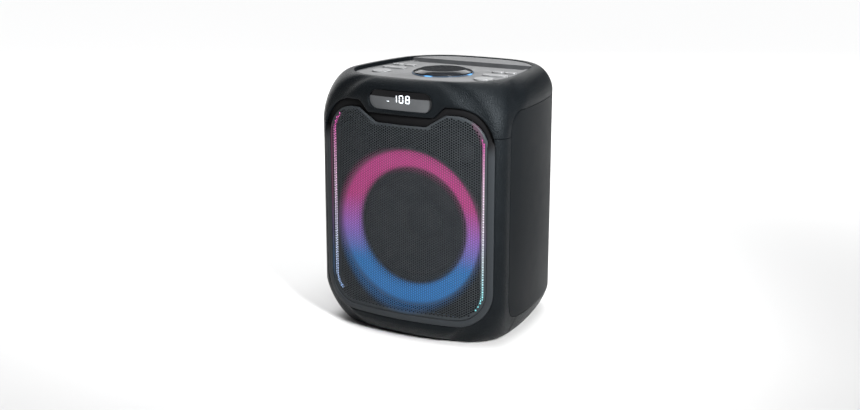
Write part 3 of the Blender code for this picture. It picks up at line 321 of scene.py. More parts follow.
def placed(outline, axis, height):
    """An outline across an axis, as points in space at a place along the axis."""
    order = {"X": (1, 2, 0), "Y": (0, 2, 1), "Z": (0, 1, 2)}[axis]
    points = []
    for u, v in outline:
        point = [0, 0, 0]
        for slot, value in zip(order, (u, v, height)):
            point[slot] = value
        points.append(tuple(point))
    return points


def prism(outline, axis, start, end):
    return loft([placed(outline, axis, start), placed(outline, axis, end)])


def box(low, high):
    return prism([(low[0], low[1]), (high[0], low[1]), (high[0], high[1]), (low[0], high[1])],
                 "Z", low[2], high[2])


def turned(profile, axis="Y", centre=(0, 0, 0), steps=96, closed=True):
    """Solid of revolution. Profile points are (radius, place along the axis).

    A closed profile goes round a ring; an open one starts and ends on the axis."""
    along = Vector((0, 1, 0)) if axis == "Y" else Vector((0, 0, 1))
    bm = bmesh.new()
    points = [bm.verts.new(Vector((r, 0, 0)) + along * d) for r, d in profile]
    pairs = list(zip(points, points[1:]))
    if closed:
        pairs.append((points[-1], points[0]))
    edges = [bm.edges.new(pair) for pair in pairs]
    bmesh.ops.spin(
        bm, geom=points + edges, cent=(0, 0, 0), axis=along,
        angle=2 * math.pi, steps=steps, use_merge=True,
    )
    bmesh.ops.remove_doubles(bm, verts=bm.verts, dist=0.001 * MM)
    bmesh.ops.translate(bm, verts=bm.verts, vec=Vector(centre))
    bmesh.ops.recalc_face_normals(bm, faces=bm.faces)
    return bm


def drill(radius, centre, axis="Y", start=-FAR, end=FAR, steps=64):
    """Round cutter along an axis."""
    return turned([(0, start), (radius, start), (radius, end), (0, end)], axis, centre, steps, False)


def rounded(corners, steps=10, runs=None):
    """Outline through corners given as (u, v, radius); runs divide its straight sides."""
    arcs = []
    for index, (u, v, radius) in enumerate(corners):
        here = Vector((u, v))
        before = (Vector(corners[index - 1][:2]) - here).normalized()
        after = (Vector(corners[(index + 1) % len(corners)][:2]) - here).normalized()
        half = before.angle(after) / 2
        middle = here + (before + after).normalized() * radius / math.sin(half)
        spoke = here + before * radius / math.tan(half) - middle
        sweep = math.copysign(math.pi - 2 * half, before.y * after.x - before.x * after.y)
        arcs.append([
            middle + Matrix.Rotation(sweep * step / steps, 2) @ spoke for step in range(steps + 1)
        ])
    outline = []
    for index, points in enumerate(arcs):
        outline += [tuple(point) for point in points]
        if runs:
            start, end = points[-1], arcs[(index + 1) % len(arcs)][0]
            parts = runs[index]
            outline += [tuple(start.lerp(end, step / parts)) for step in range(1, parts)]
    return outline


def rectangle(low, high, radius, steps=8):
    corners = [(low[0], low[1]), (high[0], low[1]), (high[0], high[1]), (low[0], high[1])]
    return rounded([(u, v, radius) for u, v in corners], steps)


def temporary(bm):
    mesh = bpy.data.meshes.new("temporary")
    bmesh.ops.triangulate(bm, faces=[face for face in bm.faces if len(face.verts) > 4])
    bm.to_mesh(mesh)
    bm.free()
    made = bpy.data.objects.new("temporary", mesh)
    bpy.context.scene.collection.objects.link(made)
    return made


def carve(solid, *tools, operation="DIFFERENCE"):
    """The solid with the tools cut away (or kept, or added). It uses all of them up."""
    target = temporary(solid)
    helpers = [temporary(tool) for tool in tools]
    for helper in helpers:
        step = target.modifiers.new("carve", "BOOLEAN")
        step.operation = operation
        step.solver = "MANIFOLD"
        step.object = helper
    graph = bpy.context.evaluated_depsgraph_get()
    result = bmesh.new()
    result.from_mesh(target.evaluated_get(graph).to_mesh())
    for item in [target, *helpers]:
        mesh = item.data
        bpy.data.objects.remove(item)
        bpy.data.meshes.remove(mesh)
    return result


def soften(bm, width, angle):
    """Rounds the sharp edges of a solid with flat or evenly curved faces."""
    bmesh.ops.dissolve_limit(
        bm, angle_limit=math.radians(0.4), verts=bm.verts, edges=bm.edges, delimit=set()
    )
    sharp = [
        edge for edge in bm.edges
        if edge.is_manifold and edge.calc_face_angle() > math.radians(angle)
    ]
    bmesh.ops.bevel(
        bm, geom=sharp, offset=width, segments=2, profile=0.5,
        affect="EDGES", material=-1, clamp_overlap=True,
    )
    return bm


def piece(name, bm, finish, stands_for=None, body="cabinet", sharp=35):
    """Make the finished object, riding on a body and standing for a CAD node."""
    bmesh.ops.recalc_face_normals(bm, faces=bm.faces)
    mesh = bpy.data.meshes.new(name)
    bm.to_mesh(mesh)
    bm.free()
    mesh.shade_smooth()
    mesh.set_sharp_from_angle(angle=math.radians(sharp))
    mesh.materials.append(finish)
    made = bpy.data.objects.new(name, mesh)
    bpy.context.scene.collection.objects.link(made)
    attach(made, body)
    if stands_for:
        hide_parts(stands_for)


# Finishes.


class Value:
    """A value in a finish's node tree; its operators add Math nodes."""

    def __init__(self, finish, socket):
        self.finish = finish
        self.socket = socket

    def math(self, operation, *values):
        return self.finish.node("ShaderNodeMath", {"operation": operation}, dict(enumerate(values)))

    def __add__(self, other):
        return self.math("ADD", self, other)

    def __sub__(self, other):
        return self.math("SUBTRACT", self, other)

    def __rsub__(self, other):
        return self.math("SUBTRACT", other, self)

    def __mul__(self, other):
        return self.math("MULTIPLY", self, other)

    def __truediv__(self, other):
        return self.math("DIVIDE", self, other)

    def __pow__(self, other):
        return self.math("POWER", self, other)

    __radd__ = __add__
    __rmul__ = __mul__

    def over(self, low, high):
        """0 below low, 1 above high, and smooth between."""
        return self.finish.node(
            "ShaderNodeMapRange", {"interpolation_type": "SMOOTHSTEP"},
            {"Value": self, "From Min": low, "From Max": high},
        )


class Finish:
    """A material built from a Principled BSDF; constants go straight on its sockets."""

    def __init__(self, name, **constants):
        self.material = bpy.data.materials.new(name)
        self.material.use_nodes = True
        self.tree = self.material.node_tree
        self.shader = self.tree.nodes["Principled BSDF"]
        for key, value in constants.items():
            self.put(key.replace("_", " "), value)

    def join(self, socket, value):
        if isinstance(value, Value):
            self.tree.links.new(value.socket, socket)
        else:
            socket.default_value = value

    def put(self, name, value):
        if isinstance(value, tuple) and len(value) == 3:
            value = (*value, 1)
        self.join(self.shader.inputs[name], value)

    def node(self, kind, settings=None, inputs=None, output=0):
        made = self.tree.nodes.new(kind)
        for name, value in (settings or {}).items():
            if name == "stops":
                for place, color in value[1:-1]:
                    made.color_ramp.elements.new(place)
                for element, (place, color) in zip(made.color_ramp.elements, value):
                    element.position = place
                    element.color = (*color, 1)
            else:
                setattr(made, name, value)
        for key, value in (inputs or {}).items():
            self.join(made.inputs[key], value)
        return Value(self, made.outputs[output])

    def coordinates(self):
        return self.node("ShaderNodeTexCoord", output=3)

    def axes(self):
        """The x, y and z of a point on the piece."""
        split = self.node("ShaderNodeSeparateXYZ", inputs={0: self.coordinates()})
        node = split.socket.node
        return [Value(self, node.outputs[number]) for number in range(3)]

    def noise(self, grain, detail=2.0, stretch=(1, 1, 1)):
        """Noise from 0 to 1 whose features are about one grain across, in metres."""
        place = self.node(
            "ShaderNodeMapping", inputs={"Vector": self.coordinates(), "Scale": stretch}
        )
        return self.node(
            "ShaderNodeTexNoise",
            inputs={"Vector": place, "Scale": 1 / grain, "Detail": detail},
        )

    def blend(self, factor, first, second):
        colors = {6: first, 7: second}
        for key, color in colors.items():
            if isinstance(color, tuple) and len(color) == 3:
                colors[key] = (*color, 1)
        return self.node("ShaderNodeMix", {"data_type": "RGBA"}, {0: factor, **colors}, 2)

    def bump(self, height, depth):
        """Relief of a given depth in metres, from a height between 0 and 1."""
        relief = self.node(
            "ShaderNodeBump", inputs={"Height": height, "Distance": depth, "Strength": 1.0}
        )
        self.join(self.shader.inputs["Normal"], relief)


def moulded(name, color, roughness, grain, depth, **constants):
    """Moulded plastic: a fine grain, slight mottling of colour and gloss."""
    made = Finish(name, **constants)
    fine = made.noise(grain, 3)
    broad = made.noise(22 * MM, 2)
    lighter = tuple(value * 1.25 for value in color)
    made.put("Base Color", made.blend(broad.over(0.3, 0.7), color, lighter))
    made.put("Roughness", roughness - 0.04 + 0.08 * broad)
    made.bump(fine, depth)
    return made.material


def worn_metal(name, color, roughness, metallic=1.0, stretch=(1, 1, 1), **constants):
    """Metal with a brushed or cast surface."""
    made = Finish(name, Metallic=metallic, **constants)
    streaks = made.noise(0.8 * MM, 4, stretch)
    darker = tuple(value * 0.7 for value in color)
    made.put("Base Color", made.blend(streaks, darker, color))
    made.put("Roughness", roughness - 0.1 + 0.2 * streaks)
    made.bump(streaks, 0.02 * MM)
    return made.material


MAGENTA = (0.56, 0.035, 0.25)
VIOLET = (0.34, 0.14, 0.60)
BLUE = (0.012, 0.19, 0.54)


def ring_color(made, z):
    """Colour of the ring's light by height: magenta above, violet, blue below."""
    share = (z - RING_LOW.z) / (RING_HIGH.z - RING_LOW.z)
    stops = [(0.0, BLUE), (0.28, BLUE), (0.47, VIOLET), (0.67, MAGENTA), (1.0, MAGENTA)]
    return made.node("ShaderNodeValToRGB", {"stops": stops}, {0: share})


def distance(u, v, centre):
    """How far a point is from a centre, both seen along one axis."""
    across, up = u - centre[0], v - centre[1]
    return (across * across + up * up) ** 0.5


def band(value, low, high, soft):
    """1 inside a band, fading out over a soft edge on both sides."""
    return value.over(low - soft, low + soft) * (1 - value.over(high - soft, high + soft))


COOL_TINT = (0.84, 0.94, 1.0)  # of the gloss on the shells and the grille
SHELL_BLACK = (0.0026, 0.0034, 0.0042)
UNLIT = (0, 0, 0)

STRIP_LOW, STRIP_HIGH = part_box("light_strip_right")
STRIP_FRONT_Y = STRIP_LOW.y - 6.1 * MM
STRIP_POWER = 1.5
RING_SHEET = 2 * MM
RING_INNER = 70 * MM
RING_OUTER = RING_HIGH.x
GLOW_OUTER = 95.6 * MM  # the painted glow on the grille, between two circles
GLOW_INNER = 70.5 * MM
GLOW_OUTER_CENTRE = (4.8 * MM, DRIVER_Z + 0.6 * MM)
GLOW_INNER_CENTRE = (12.5 * MM, DRIVER_Z + 7 * MM)
GLOW_SOFT = 7 * MM
BESIDE_STRIP = (101 * MM, 112 * MM)  # the painted glow on the sheet beside the left strip, from the middle
BESIDE_STRIP_Z = (60 * MM, 250 * MM)
BEND_CENTRE = (STRIP_HIGH.x - 33.5 * MM, STRIP_HIGH.z - 22.4 * MM)  # painted glow on the sheet above the right strip
BEND_BAND = (30 * MM, 34 * MM)
LEFT_STOPS = [(0.14, (0.35, 0.55, 0.95)), (0.35, (0.7, 0.75, 0.95)), (0.6, (0.95, 0.62, 0.85)),
              (0.8, (0.75, 0.1, 0.45))]
RIGHT_STOPS = [(0.16, (0.2, 0.75, 0.8)), (0.34, (0.7, 0.8, 0.85)), (0.6, (0.95, 0.72, 0.88)),
               (0.78, (0.75, 0.1, 0.45))]


def ring_glow():
    """Lit face of the funnel behind the grille, dark along its two rims."""
    made = Finish("ring_glow", Base_Color=(0.02, 0.02, 0.025), Roughness=0.4)
    x, _y, z = made.axes()
    radius = distance(x, z, (0, DRIVER_Z))
    lit = band(radius, RING_INNER + 2 * MM, RING_OUTER - 4 * MM, 3 * MM)
    made.put("Emission Color", made.blend(lit, UNLIT, ring_color(made, z)))
    made.put("Emission Strength", 0.95)
    made.put("Roughness", 0.35 + 0.1 * made.noise(3 * MM))
    return made.material


def grille_paint_and_painted_glow():
    """Satin painted sheet; the ring's and the strips' light on it is painted glow, put in as
    emission.
    """
    made = Finish("grille_paint_and_painted_glow", Specular_IOR_Level=0.12, Specular_Tint=COOL_TINT)
    x, _y, z = made.axes()
    broad = made.noise(14 * MM)
    made.put("Base Color", made.blend(broad, (0.020, 0.023, 0.026), (0.032, 0.036, 0.039)))
    made.put("Roughness", 0.36 + 0.1 * made.noise(1.5 * MM))
    # Painted glow: a band between two circles where the ring's light is painted onto the sheet.
    outer = distance(x, z, GLOW_OUTER_CENTRE)
    inner = distance(x, z, GLOW_INNER_CENTRE)
    lit = inner.over(GLOW_INNER - GLOW_SOFT, GLOW_INNER + GLOW_SOFT)
    lit = lit * (1 - outer.over(GLOW_OUTER - GLOW_SOFT, GLOW_OUTER + GLOW_SOFT))
    ring = made.blend(lit, UNLIT, ring_color(made, z))
    # Painted glow beside the left strip and above the right strip's bend.
    beside = band(x * -1.0, *BESIDE_STRIP, 2 * MM) * band(z, *BESIDE_STRIP_Z, 14 * MM)
    bend = band(distance(x, z, BEND_CENTRE), *BEND_BAND, 1.5 * MM) * x.over(86 * MM, 92 * MM)
    bend = bend * z.over(STRIP_HIGH.z - 24 * MM, STRIP_HIGH.z - 16 * MM)
    edge = made.blend(beside + 2.0 * bend, UNLIT, ring_color(made, z))
    both = made.node(
        "ShaderNodeMix", {"data_type": "RGBA", "blend_type": "ADD"}, {0: 0.35, 6: ring, 7: edge}, 2
    )
    made.put("Emission Color", both)
    made.put("Emission Strength", 0.36)
    made.bump(made.noise(0.4 * MM), 0.01 * MM)
    return made.material


def strip_glow(name, stops):
    """Light bar with a colour run by height and the beads of its lamps."""
    made = Finish(name, Base_Color=(0.02, 0.02, 0.02), Roughness=0.5)
    _x, y, z = made.axes()
    color = made.node("ShaderNodeValToRGB", {"stops": stops}, {0: z / TOP_Z})
    color = made.blend(y.over(STRIP_FRONT_Y, STRIP_FRONT_Y + 0.8 * MM), color, UNLIT)
    beads = made.node("ShaderNodeTexWave", {"bands_direction": "Z"},
                      {"Vector": made.coordinates(), "Scale": 60.0})
    made.put("Emission Color", made.blend(0.35 * beads, color, UNLIT))
    made.put("Emission Strength", STRIP_POWER)
    return made.material


def window_plastic():
    """Polished dark window: clear black above, with a painted grey reflection over the part below.
    """
    made = Finish("window_plastic", Roughness=0.2, Specular_IOR_Level=0.15)
    _x, _y, z = made.axes()
    split = mix(LENS_LOW.z, LENS_HIGH.z, 0.66)
    # Painted reflection: a soft-edged, mottled grey field over the lower part of the window.
    field = 1 - z.over(split - 0.4 * MM, split + 0.4 * MM)
    reflection_mottle = made.noise(30 * MM)
    grey = made.blend(reflection_mottle, (0.05, 0.053, 0.056), (0.085, 0.088, 0.092))
    made.put("Base Color", made.blend(field, (0.002, 0.002, 0.0025), grey))
    return made.material


def glow(name, color, strength):
    """Evenly lit face with a faint unevenness."""
    made = Finish(name, Base_Color=color, Roughness=0.4)
    made.put("Emission Color", made.blend(made.noise(2 * MM), color, tuple(0.9 * c for c in color)))
    made.put("Emission Strength", strength)
    return made.material


def dial_glow():
    """Clear ring under the dial, lit by a few lamps."""
    made = Finish("dial_glow", Base_Color=(0.05, 0.07, 0.1), Roughness=0.25)
    x, y, _z = made.axes()
    angle = made.node("ShaderNodeMath", {"operation": "ARCTAN2"}, {0: y - DIAL_Y, 1: x})
    lamps = angle.math("COSINE", angle * 4.0).over(0.75, 1.0)
    made.put("Emission Color", made.blend(lamps, (0.004, 0.01, 0.018), (0.12, 0.4, 0.85)))
    made.put("Emission Strength", 1.6)
    return made.material


def trim_plastic():
    """Satin bezel, matt where it runs back under the cap, where painted shade also darkens it."""
    made = Finish("trim_plastic", Specular_IOR_Level=0.12)
    _x, _y, z = made.axes()
    # Painted shade: the bezel goes near-black where it runs back under the cap's overhang.
    painted_shade_under_cap = z.over(TRIM_STEP_Z - 14 * MM, TRIM_STEP_Z + 4 * MM)
    made.put("Base Color", made.blend(painted_shade_under_cap, (0.022, 0.025, 0.028), (0.003, 0.003, 0.0035)))
    made.put("Roughness", 0.42 + 0.3 * painted_shade_under_cap)
    made.bump(made.noise(0.5 * MM), 0.015 * MM)
    return made.material


def woven(name, color):
    """Coated paper or cloth with a fibrous surface."""
    made = Finish(name, Specular_IOR_Level=0.2)
    fibres = made.noise(1.2 * MM, 6)
    lighter = tuple(value * 1.6 for value in color)
    made.put("Base Color", made.blend(fibres, color, lighter))
    made.put("Roughness", 0.8 - 0.1 * fibres)
    made.bump(fibres, 0.1 * MM)
    return made.material


def circuit_board():
    """Green lacquered board with lighter cells of copper under the lacquer."""
    made = Finish("circuit_board")
    cells = made.node("ShaderNodeTexVoronoi", {"distance": "CHEBYCHEV"},
                      {"Vector": made.coordinates(), "Scale": 260.0}, 0)
    traces = cells.over(0.25, 0.3)
    made.put("Base Color", made.blend(traces, (0.01, 0.07, 0.03), (0.02, 0.13, 0.05)))
    made.put("Roughness", 0.35 + 0.2 * traces)
    made.bump(traces, 0.03 * MM)
    return made.material


FINISHES = {
    "grained_plastic": moulded("grained_plastic", SHELL_BLACK, 0.43, 1.1 * MM, 0.6 * MM,
                               Specular_IOR_Level=0.11, Specular_Tint=COOL_TINT),
    "smooth_plastic": moulded("smooth_plastic", SHELL_BLACK, 0.46, 0.6 * MM, 0.03 * MM,
                              Specular_IOR_Level=0.05, Specular_Tint=COOL_TINT),
    "trim_plastic": trim_plastic(),
    "inner_plastic": moulded("inner_plastic", (0.003, 0.003, 0.0035), 0.6, 0.7 * MM, 0.03 * MM,
                             Specular_IOR_Level=0.05),
    "panel_plastic": moulded("panel_plastic", (0.05, 0.052, 0.055), 0.42, 0.9 * MM, 0.04 * MM),
    "button_plastic": moulded("button_plastic", (0.125, 0.128, 0.131), 0.45, 0.5 * MM, 0.01 * MM),
    "rubber": moulded("rubber", (0.006, 0.006, 0.007), 0.75, 0.6 * MM, 0.03 * MM,
                      Specular_IOR_Level=0.2),
    "battery_wrap": moulded("battery_wrap", (0.03, 0.07, 0.2), 0.3, 4 * MM, 0.05 * MM),
    "grille_metal": grille_paint_and_painted_glow(),
    "gloss_lens": window_plastic(),
    "dial_finish": worn_metal("dial_finish", (0.012, 0.013, 0.015), 0.14, 0.0, (1, 1, 0.1),
                              Specular_IOR_Level=0.1),
    "cone_paper": woven("cone_paper", (0.007, 0.007, 0.008)),
    "spider_cloth": woven("spider_cloth", (0.4, 0.22, 0.09)),
    "basket_metal": worn_metal("basket_metal", (0.05, 0.05, 0.055), 0.45),
    "heat_sink_metal": worn_metal("heat_sink_metal", (0.6, 0.6, 0.62), 0.35, 1.0, (0.1, 1, 1)),
    "magnet_iron": worn_metal("magnet_iron", (0.12, 0.12, 0.13), 0.55, 0.8),
    "coil_copper": worn_metal("coil_copper", (0.7, 0.3, 0.12), 0.3, 1.0, (1, 10, 1)),
    "steel": worn_metal("steel", (0.2, 0.2, 0.21), 0.3),
    "board": circuit_board(),
    "ring_glow": ring_glow(),
    "strip_glow": strip_glow("strip_glow_right", RIGHT_STOPS),
    "dial_glow": dial_glow(),
}
for node_name, node in frame["nodes"].items():
    node.data.materials.clear()
    node.data.materials.append(FINISHES[SLOTS[node_name]])


# Front outlines.
OPENING_RUNS = (60, 60, 8, 8, 24, 8, 8, 60)
OUTLINE_STEPS = 12


def front_outline(half, low_z, low_corner, high_z, high_corner, dip, rounds):
    """Outline with round corners and a dip in its top: dip is (half, z, slope)."""
    dip_half, dip_z, slope = dip
    corners = [
        (-half, low_z, low_corner),
        (half, low_z, low_corner),
        (half, high_z, high_corner),
        (dip_half + slope, high_z, rounds[0]),
        (dip_half, dip_z, rounds[1]),
        (-dip_half, dip_z, rounds[1]),
        (-dip_half - slope, high_z, rounds[0]),
        (-half, high_z, high_corner),
    ]
    return rounded(corners, OUTLINE_STEPS, OPENING_RUNS)


def opening_outline(grow):
    return front_outline(
        OPENING_HALF + grow, OPENING_LOW_Z - grow, OPENING_LOW_CORNER + grow,
        HUMP_Z + grow, HUMP_CORNER + grow,
        (CHIN_HALF - grow / 2, CHIN_Z + grow, CHIN_SLOPE), (6 * MM, 3 * MM),
    )


def grille_outline(grow):
    return front_outline(
        GRILLE_HALF + grow, GRILLE_LOW.z - grow, GRILLE_LOW_CORNER + grow,
        GRILLE_HIGH.z + grow, GRILLE_HIGH_CORNER + grow,
        (NOTCH_HALF - grow / 2, NOTCH_Z + grow, NOTCH_SLOPE), (8 * MM, 12 * MM),
    )


def facing(low, high, corner, grow=0.0, steps=12):
    """Rounded rectangle round a CAD box seen from the front, grown by a margin."""
    start, end = (low.x - grow, low.z - grow), (high.x + grow, high.z + grow)
    return rectangle(start, end, corner, steps)


def lens_outline(grow):
    radius = (LENS_HIGH.z - LENS_LOW.z) / 2 + grow
    return facing(LENS_LOW, LENS_HIGH, radius * 0.999, grow, 16)


def bow_y(x, depth=0.0):
    """Y of the bowed front at x, at a depth behind its face."""
    return FRONT_Y + FRONT_BOW - math.sqrt((FRONT_BOW - depth) ** 2 - x * x)


def front_slab(outer, inner, steps=120):
    """Curved slab that follows the front, between two depths behind its face."""
    reach = HALF_WIDTH + 8 * MM
    places = [mix(-reach, reach, step / steps) for step in range(steps + 1)]
    outline = [(x, bow_y(x, outer)) for x in places]
    outline += [(x, bow_y(x, inner)) for x in reversed(places)]
    return prism(outline, "Z", -FAR, FAR)


def flared_cutter(outline, reach, skin, depth):
    """Cutter for a hole in the front whose edge is rounded by reach(z)."""
    base, grown = outline(0), outline(MM)
    loops = [placed(base, "Y", FRONT_Y + depth)]
    for angle in (0, 25, 50, 75, 90):
        out, back = 1 - math.cos(math.radians(angle)), 1 - math.sin(math.radians(angle))
        loop = []
        for (x, z), (far_x, far_z) in zip(base, grown):
            size = reach(z)
            spread = size * out / MM
            u, v = mix(x, far_x, spread), mix(z, far_z, spread)
            hit = skin.ray_cast(Vector((u, FRONT_Y - FAR / 4, v)), Vector((0, 1, 0)))[0]
            loop.append((u, hit.y + size * back - (0.02 * MM if angle == 90 else 0), v))
        loops.append(loop)
    loops.append([(u, FRONT_Y - 10 * MM, v) for u, _y, v in loops[-1]])
    return loft(loops)


def rear_region(grow):
    """What belongs to the rear shell: all behind its seam, seen from the side."""
    front, low, high = SHELL_LOW.y - grow, SHELL_LOW.z - grow, SHELL_HIGH.z + grow
    corner = SHELL_CORNER + grow
    outline = rounded([(front, low, corner), (FAR, low, MM), (FAR, high, MM), (front, high, corner)])
    return prism(outline, "X", -FAR, FAR)


def opening_edge(z):
    """Radius of the opening's edge, which grows where the cap overhangs it."""
    return mix(0.7 * MM, 2.4 * MM, smooth_step((z - CAP_SEAM_Z + 12 * MM) / (30 * MM)))


def make_shells():
    outside = cabinet()
    skin = BVHTree.FromBMesh(outside)
    body = carve(outside, cabinet(WALL, FRONT_WALL, WALL, ROOF_WALL, 6, 3))
    opening = flared_cutter(opening_outline, opening_edge, skin, 31 * MM)
    lens_hole = flared_cutter(
        lambda grow: lens_outline(grow + GAP), lambda z: 0.9 * MM, skin, 17 * MM
    )
    behind = rear_region(GAP / 2 + SEAM / 2)
    under_y = SHELL_LOW.y - GAP / 2 + SHELL_CORNER

    above = box((-FAR, -FAR, CAP_SEAM_Z + SEAM / 2), (FAR, FAR, FAR))
    cap = carve(body.copy(), above, operation="INTERSECT")
    seat = prism(crest_outline(PANEL_RIM), "Z", PANEL_LOW.z - GAP, FAR)
    hole = prism(crest_outline(PANEL_RIM + PANEL_LEDGE), "Z", TOP_Z - 30 * MM, FAR)
    cap = carve(cap, behind.copy(), opening.copy(), seat, hole, lens_hole)
    piece("cap_moulding", cap, FINISHES["grained_plastic"], "top_cap")

    low_front = box((-FAR, -FAR, -FAR), (FAR, under_y - SEAM / 2, CAP_SEAM_Z - SEAM / 2))
    front = carve(body.copy(), low_front, operation="INTERSECT")
    front = carve(front, behind.copy(), opening)
    piece("front_moulding", front, FINISHES["grained_plastic"], "front_frame")

    rear = carve(body.copy(), rear_region(GAP / 2 - SEAM / 2), operation="INTERSECT")
    jack_hole = facing(*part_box("jack_panel"), JACK_CORNER + GAP, GAP, 8)
    _low, port_high, port_middle = shape_box("bass_port")
    inside_y = BACK_Y - 27 * MM
    port_hole = drill(port_high.x + GAP, (0, 0, port_middle.z), start=inside_y)
    rear = carve(rear, prism(jack_hole, "Y", inside_y, FAR), port_hole)
    piece("rear_moulding", rear, FINISHES["smooth_plastic"], "rear_shell")

    low_back = box((-FAR, under_y + SEAM / 2, -FAR), (FAR, FAR, SHELL_LOW.z + 10 * MM))
    base = carve(body, low_back, operation="INTERSECT")
    base = carve(base, behind)
    for number in range(1, 5):
        middle = shape_box(f"base_screw_{number}")[2]
        place = (middle.x, middle.y, 0)
        base = carve(base, drill(3.4 * MM, place, "Z", -FAR, UNDER_Z + 1.5 * MM, 32))
    piece("base_moulding", base, FINISHES["grained_plastic"], "base_pan")


def bow_ring(outline, depth, step=0.0):
    """Points of a front outline on the bowed front, dropped back further under the cap."""
    points = []
    for x, z in outline:
        drop = step * smooth_step((z - TRIM_STEP_Z) / TRIM_STEP_RUN)
        points.append((x, bow_y(x, depth + drop), z))
    return points


def make_trim():
    """Bezel between the opening and the grille, with both its front edges rounded."""
    round_edge = 0.7 * MM
    bevel = 0.3 * round_edge
    loops = [
        bow_ring(opening_outline(-GAP), FRONT_WALL),
        bow_ring(opening_outline(-GAP), round_edge, TRIM_STEP),
        bow_ring(opening_outline(-GAP - bevel), bevel, TRIM_STEP),
        bow_ring(opening_outline(-GAP - round_edge), 0, TRIM_STEP),
        bow_ring(grille_outline(GAP + round_edge), 0, TRIM_STEP),
        bow_ring(grille_outline(GAP + bevel), bevel, TRIM_STEP),
        bow_ring(grille_outline(GAP), round_edge, TRIM_STEP),
        bow_ring(grille_outline(GAP), FRONT_WALL),
    ]
    trim = sleeve(loops, closed=True)
    piece("bezel", trim, FINISHES["trim_plastic"], "grille_trim", sharp=50)


def inside(x, z, outline):
    """Whether a point lies inside an outline."""
    within = False
    for (ax, az), (bx, bz) in zip(outline, outline[1:] + outline[:1]):
        if (az > z) != (bz > z) and x < ax + (z - az) / (bz - az) * (bx - ax):
            within = not within
    return within


def hole_cell():
    """Hexagon of sheet round one hole with twelve sides, seen from the front."""
    bm = bmesh.new()
    corner = HOLE_PITCH / math.sqrt(3)
    bmesh.ops.create_circle(bm, cap_ends=True, segments=6, radius=corner)
    upright = Matrix.Rotation(math.pi / 6, 4, "Y") @ Matrix.Rotation(math.pi / 2, 4, "X")
    bmesh.ops.transform(bm, matrix=upright, verts=bm.verts)
    bmesh.ops.inset_individual(bm, faces=bm.faces[:], thickness=0.3 * MM)
    reach = corner - 0.1 * MM
    round_hole = [edge for edge in bm.edges if all(vert.co.length < reach for vert in edge.verts)]
    bmesh.ops.subdivide_edges(bm, edges=round_hole, cuts=1)
    for vert in bm.verts:
        if vert.co.length < reach:
            vert.co = vert.co.normalized() * HOLE_RADIUS
    middle = [face for face in bm.faces if len(face.verts) == 12]
    bmesh.ops.delete(bm, geom=middle, context="FACES_ONLY")
    return bm


def punched_sheet():
    """Flat field of cells that fits inside the grille's plain border."""
    cell = hole_cell()
    shapes = [[(vert.co.x, vert.co.z) for vert in face.verts] for face in cell.faces]
    cell.free()
    step_x = HOLE_PITCH * math.sqrt(3) / 2
    keep_in = grille_outline(-HOLE_PITCH / math.sqrt(3) - 1.3 * MM)
    columns = int(GRILLE_HALF / step_x)
    rows = int((GRILLE_HIGH.z - GRILLE_LOW.z) / HOLE_PITCH) + 1
    bm = bmesh.new()
    shared = {}
    for column in range(-columns, columns + 1):
        for row in range(rows):
            x, z = column * step_x, GRILLE_LOW.z + (row + column % 2 / 2) * HOLE_PITCH
            if not inside(x, z, keep_in):
                continue
            for shape in shapes:
                corners = []
                for u, v in shape:
                    place = (round((x + u) / MM, 2), round((z + v) / MM, 2))
                    if place not in shared:
                        shared[place] = bm.verts.new((x + u, 0, z + v))
                    corners.append(shared[place])
                bm.faces.new(corners)
    bmesh.ops.remove_doubles(bm, verts=bm.verts, dist=0.05 * MM)
    return bm


def make_grille():
    """Perforated sheet in two halves, with a plain border and a turned-back edge."""
    bm = punched_sheet()
    rim = [edge for edge in bm.edges if edge.is_boundary and edge.calc_length() > 1.2 * MM]
    verts, edges = chain(bm, placed(grille_outline(-1.1 * MM), "Y", 0))
    bmesh.ops.triangle_fill(
        bm, edges=rim + edges, use_beauty=True, use_dissolve=False, normal=(0, -1, 0)
    )
    for vert in bm.verts:
        vert.co.y = bow_y(vert.co.x, GRILLE_SETBACK)
    turned_edge = [(-0.6, 0.1), (-0.2, 0.4), (0, 1.0), (0, 3.0)]  # growth and depth, in mm
    extend(bm, verts, edges, [
        bow_ring(grille_outline(grow * MM), GRILLE_SETBACK + depth * MM)
        for grow, depth in turned_edge
    ])
    bmesh.ops.recalc_face_normals(bm, faces=bm.faces)
    for side, word in ((-1, "left"), (1, "right")):
        half = bm.copy()
        away = [face for face in half.faces if face.calc_center_median().x * side < 0]
        bmesh.ops.delete(half, geom=away, context="FACES")
        bmesh.ops.solidify(half, geom=half.faces[:], thickness=GRILLE_SHEET)
        piece(f"grille_sheet_{word}", half, FINISHES["grille_metal"], "grille", sharp=40)
    bm.free()


def flat_bars(segments, y_face, thickness):
    """Upright bars with pointed ends on the front: (x, z, length, width, upright)."""
    bm = bmesh.new()
    for x, z, length, width, upright in segments:
        half, thin = length / 2, width / 2
        outline = [(-half, 0), (thin - half, -thin), (half - thin, -thin),
                   (half, 0), (half - thin, thin), (thin - half, thin)]
        if upright:
            outline = [(-v, u) for u, v in outline]
        bar = prism([(x + u, z + v) for u, v in outline], "Y", y_face - thickness, y_face)
        mesh = bpy.data.meshes.new("bar")
        bar.to_mesh(mesh)
        bar.free()
        bm.from_mesh(mesh)
        bpy.data.meshes.remove(mesh)
    return bm


DIGIT_BARS = {  # which of the seven bars are lit: top, upper pair, middle, lower pair, bottom
    "0": (1, 1, 1, 0, 1, 1, 1),
    "1": (0, 0, 1, 0, 0, 1, 0),
    "8": (1, 1, 1, 1, 1, 1, 1),
}
DIGIT_WIDTH = 4.6 * MM
DIGIT_HEIGHT = 8.2 * MM
DIGIT_PITCH = 8.4 * MM
DIGIT_BAR = 0.95 * MM


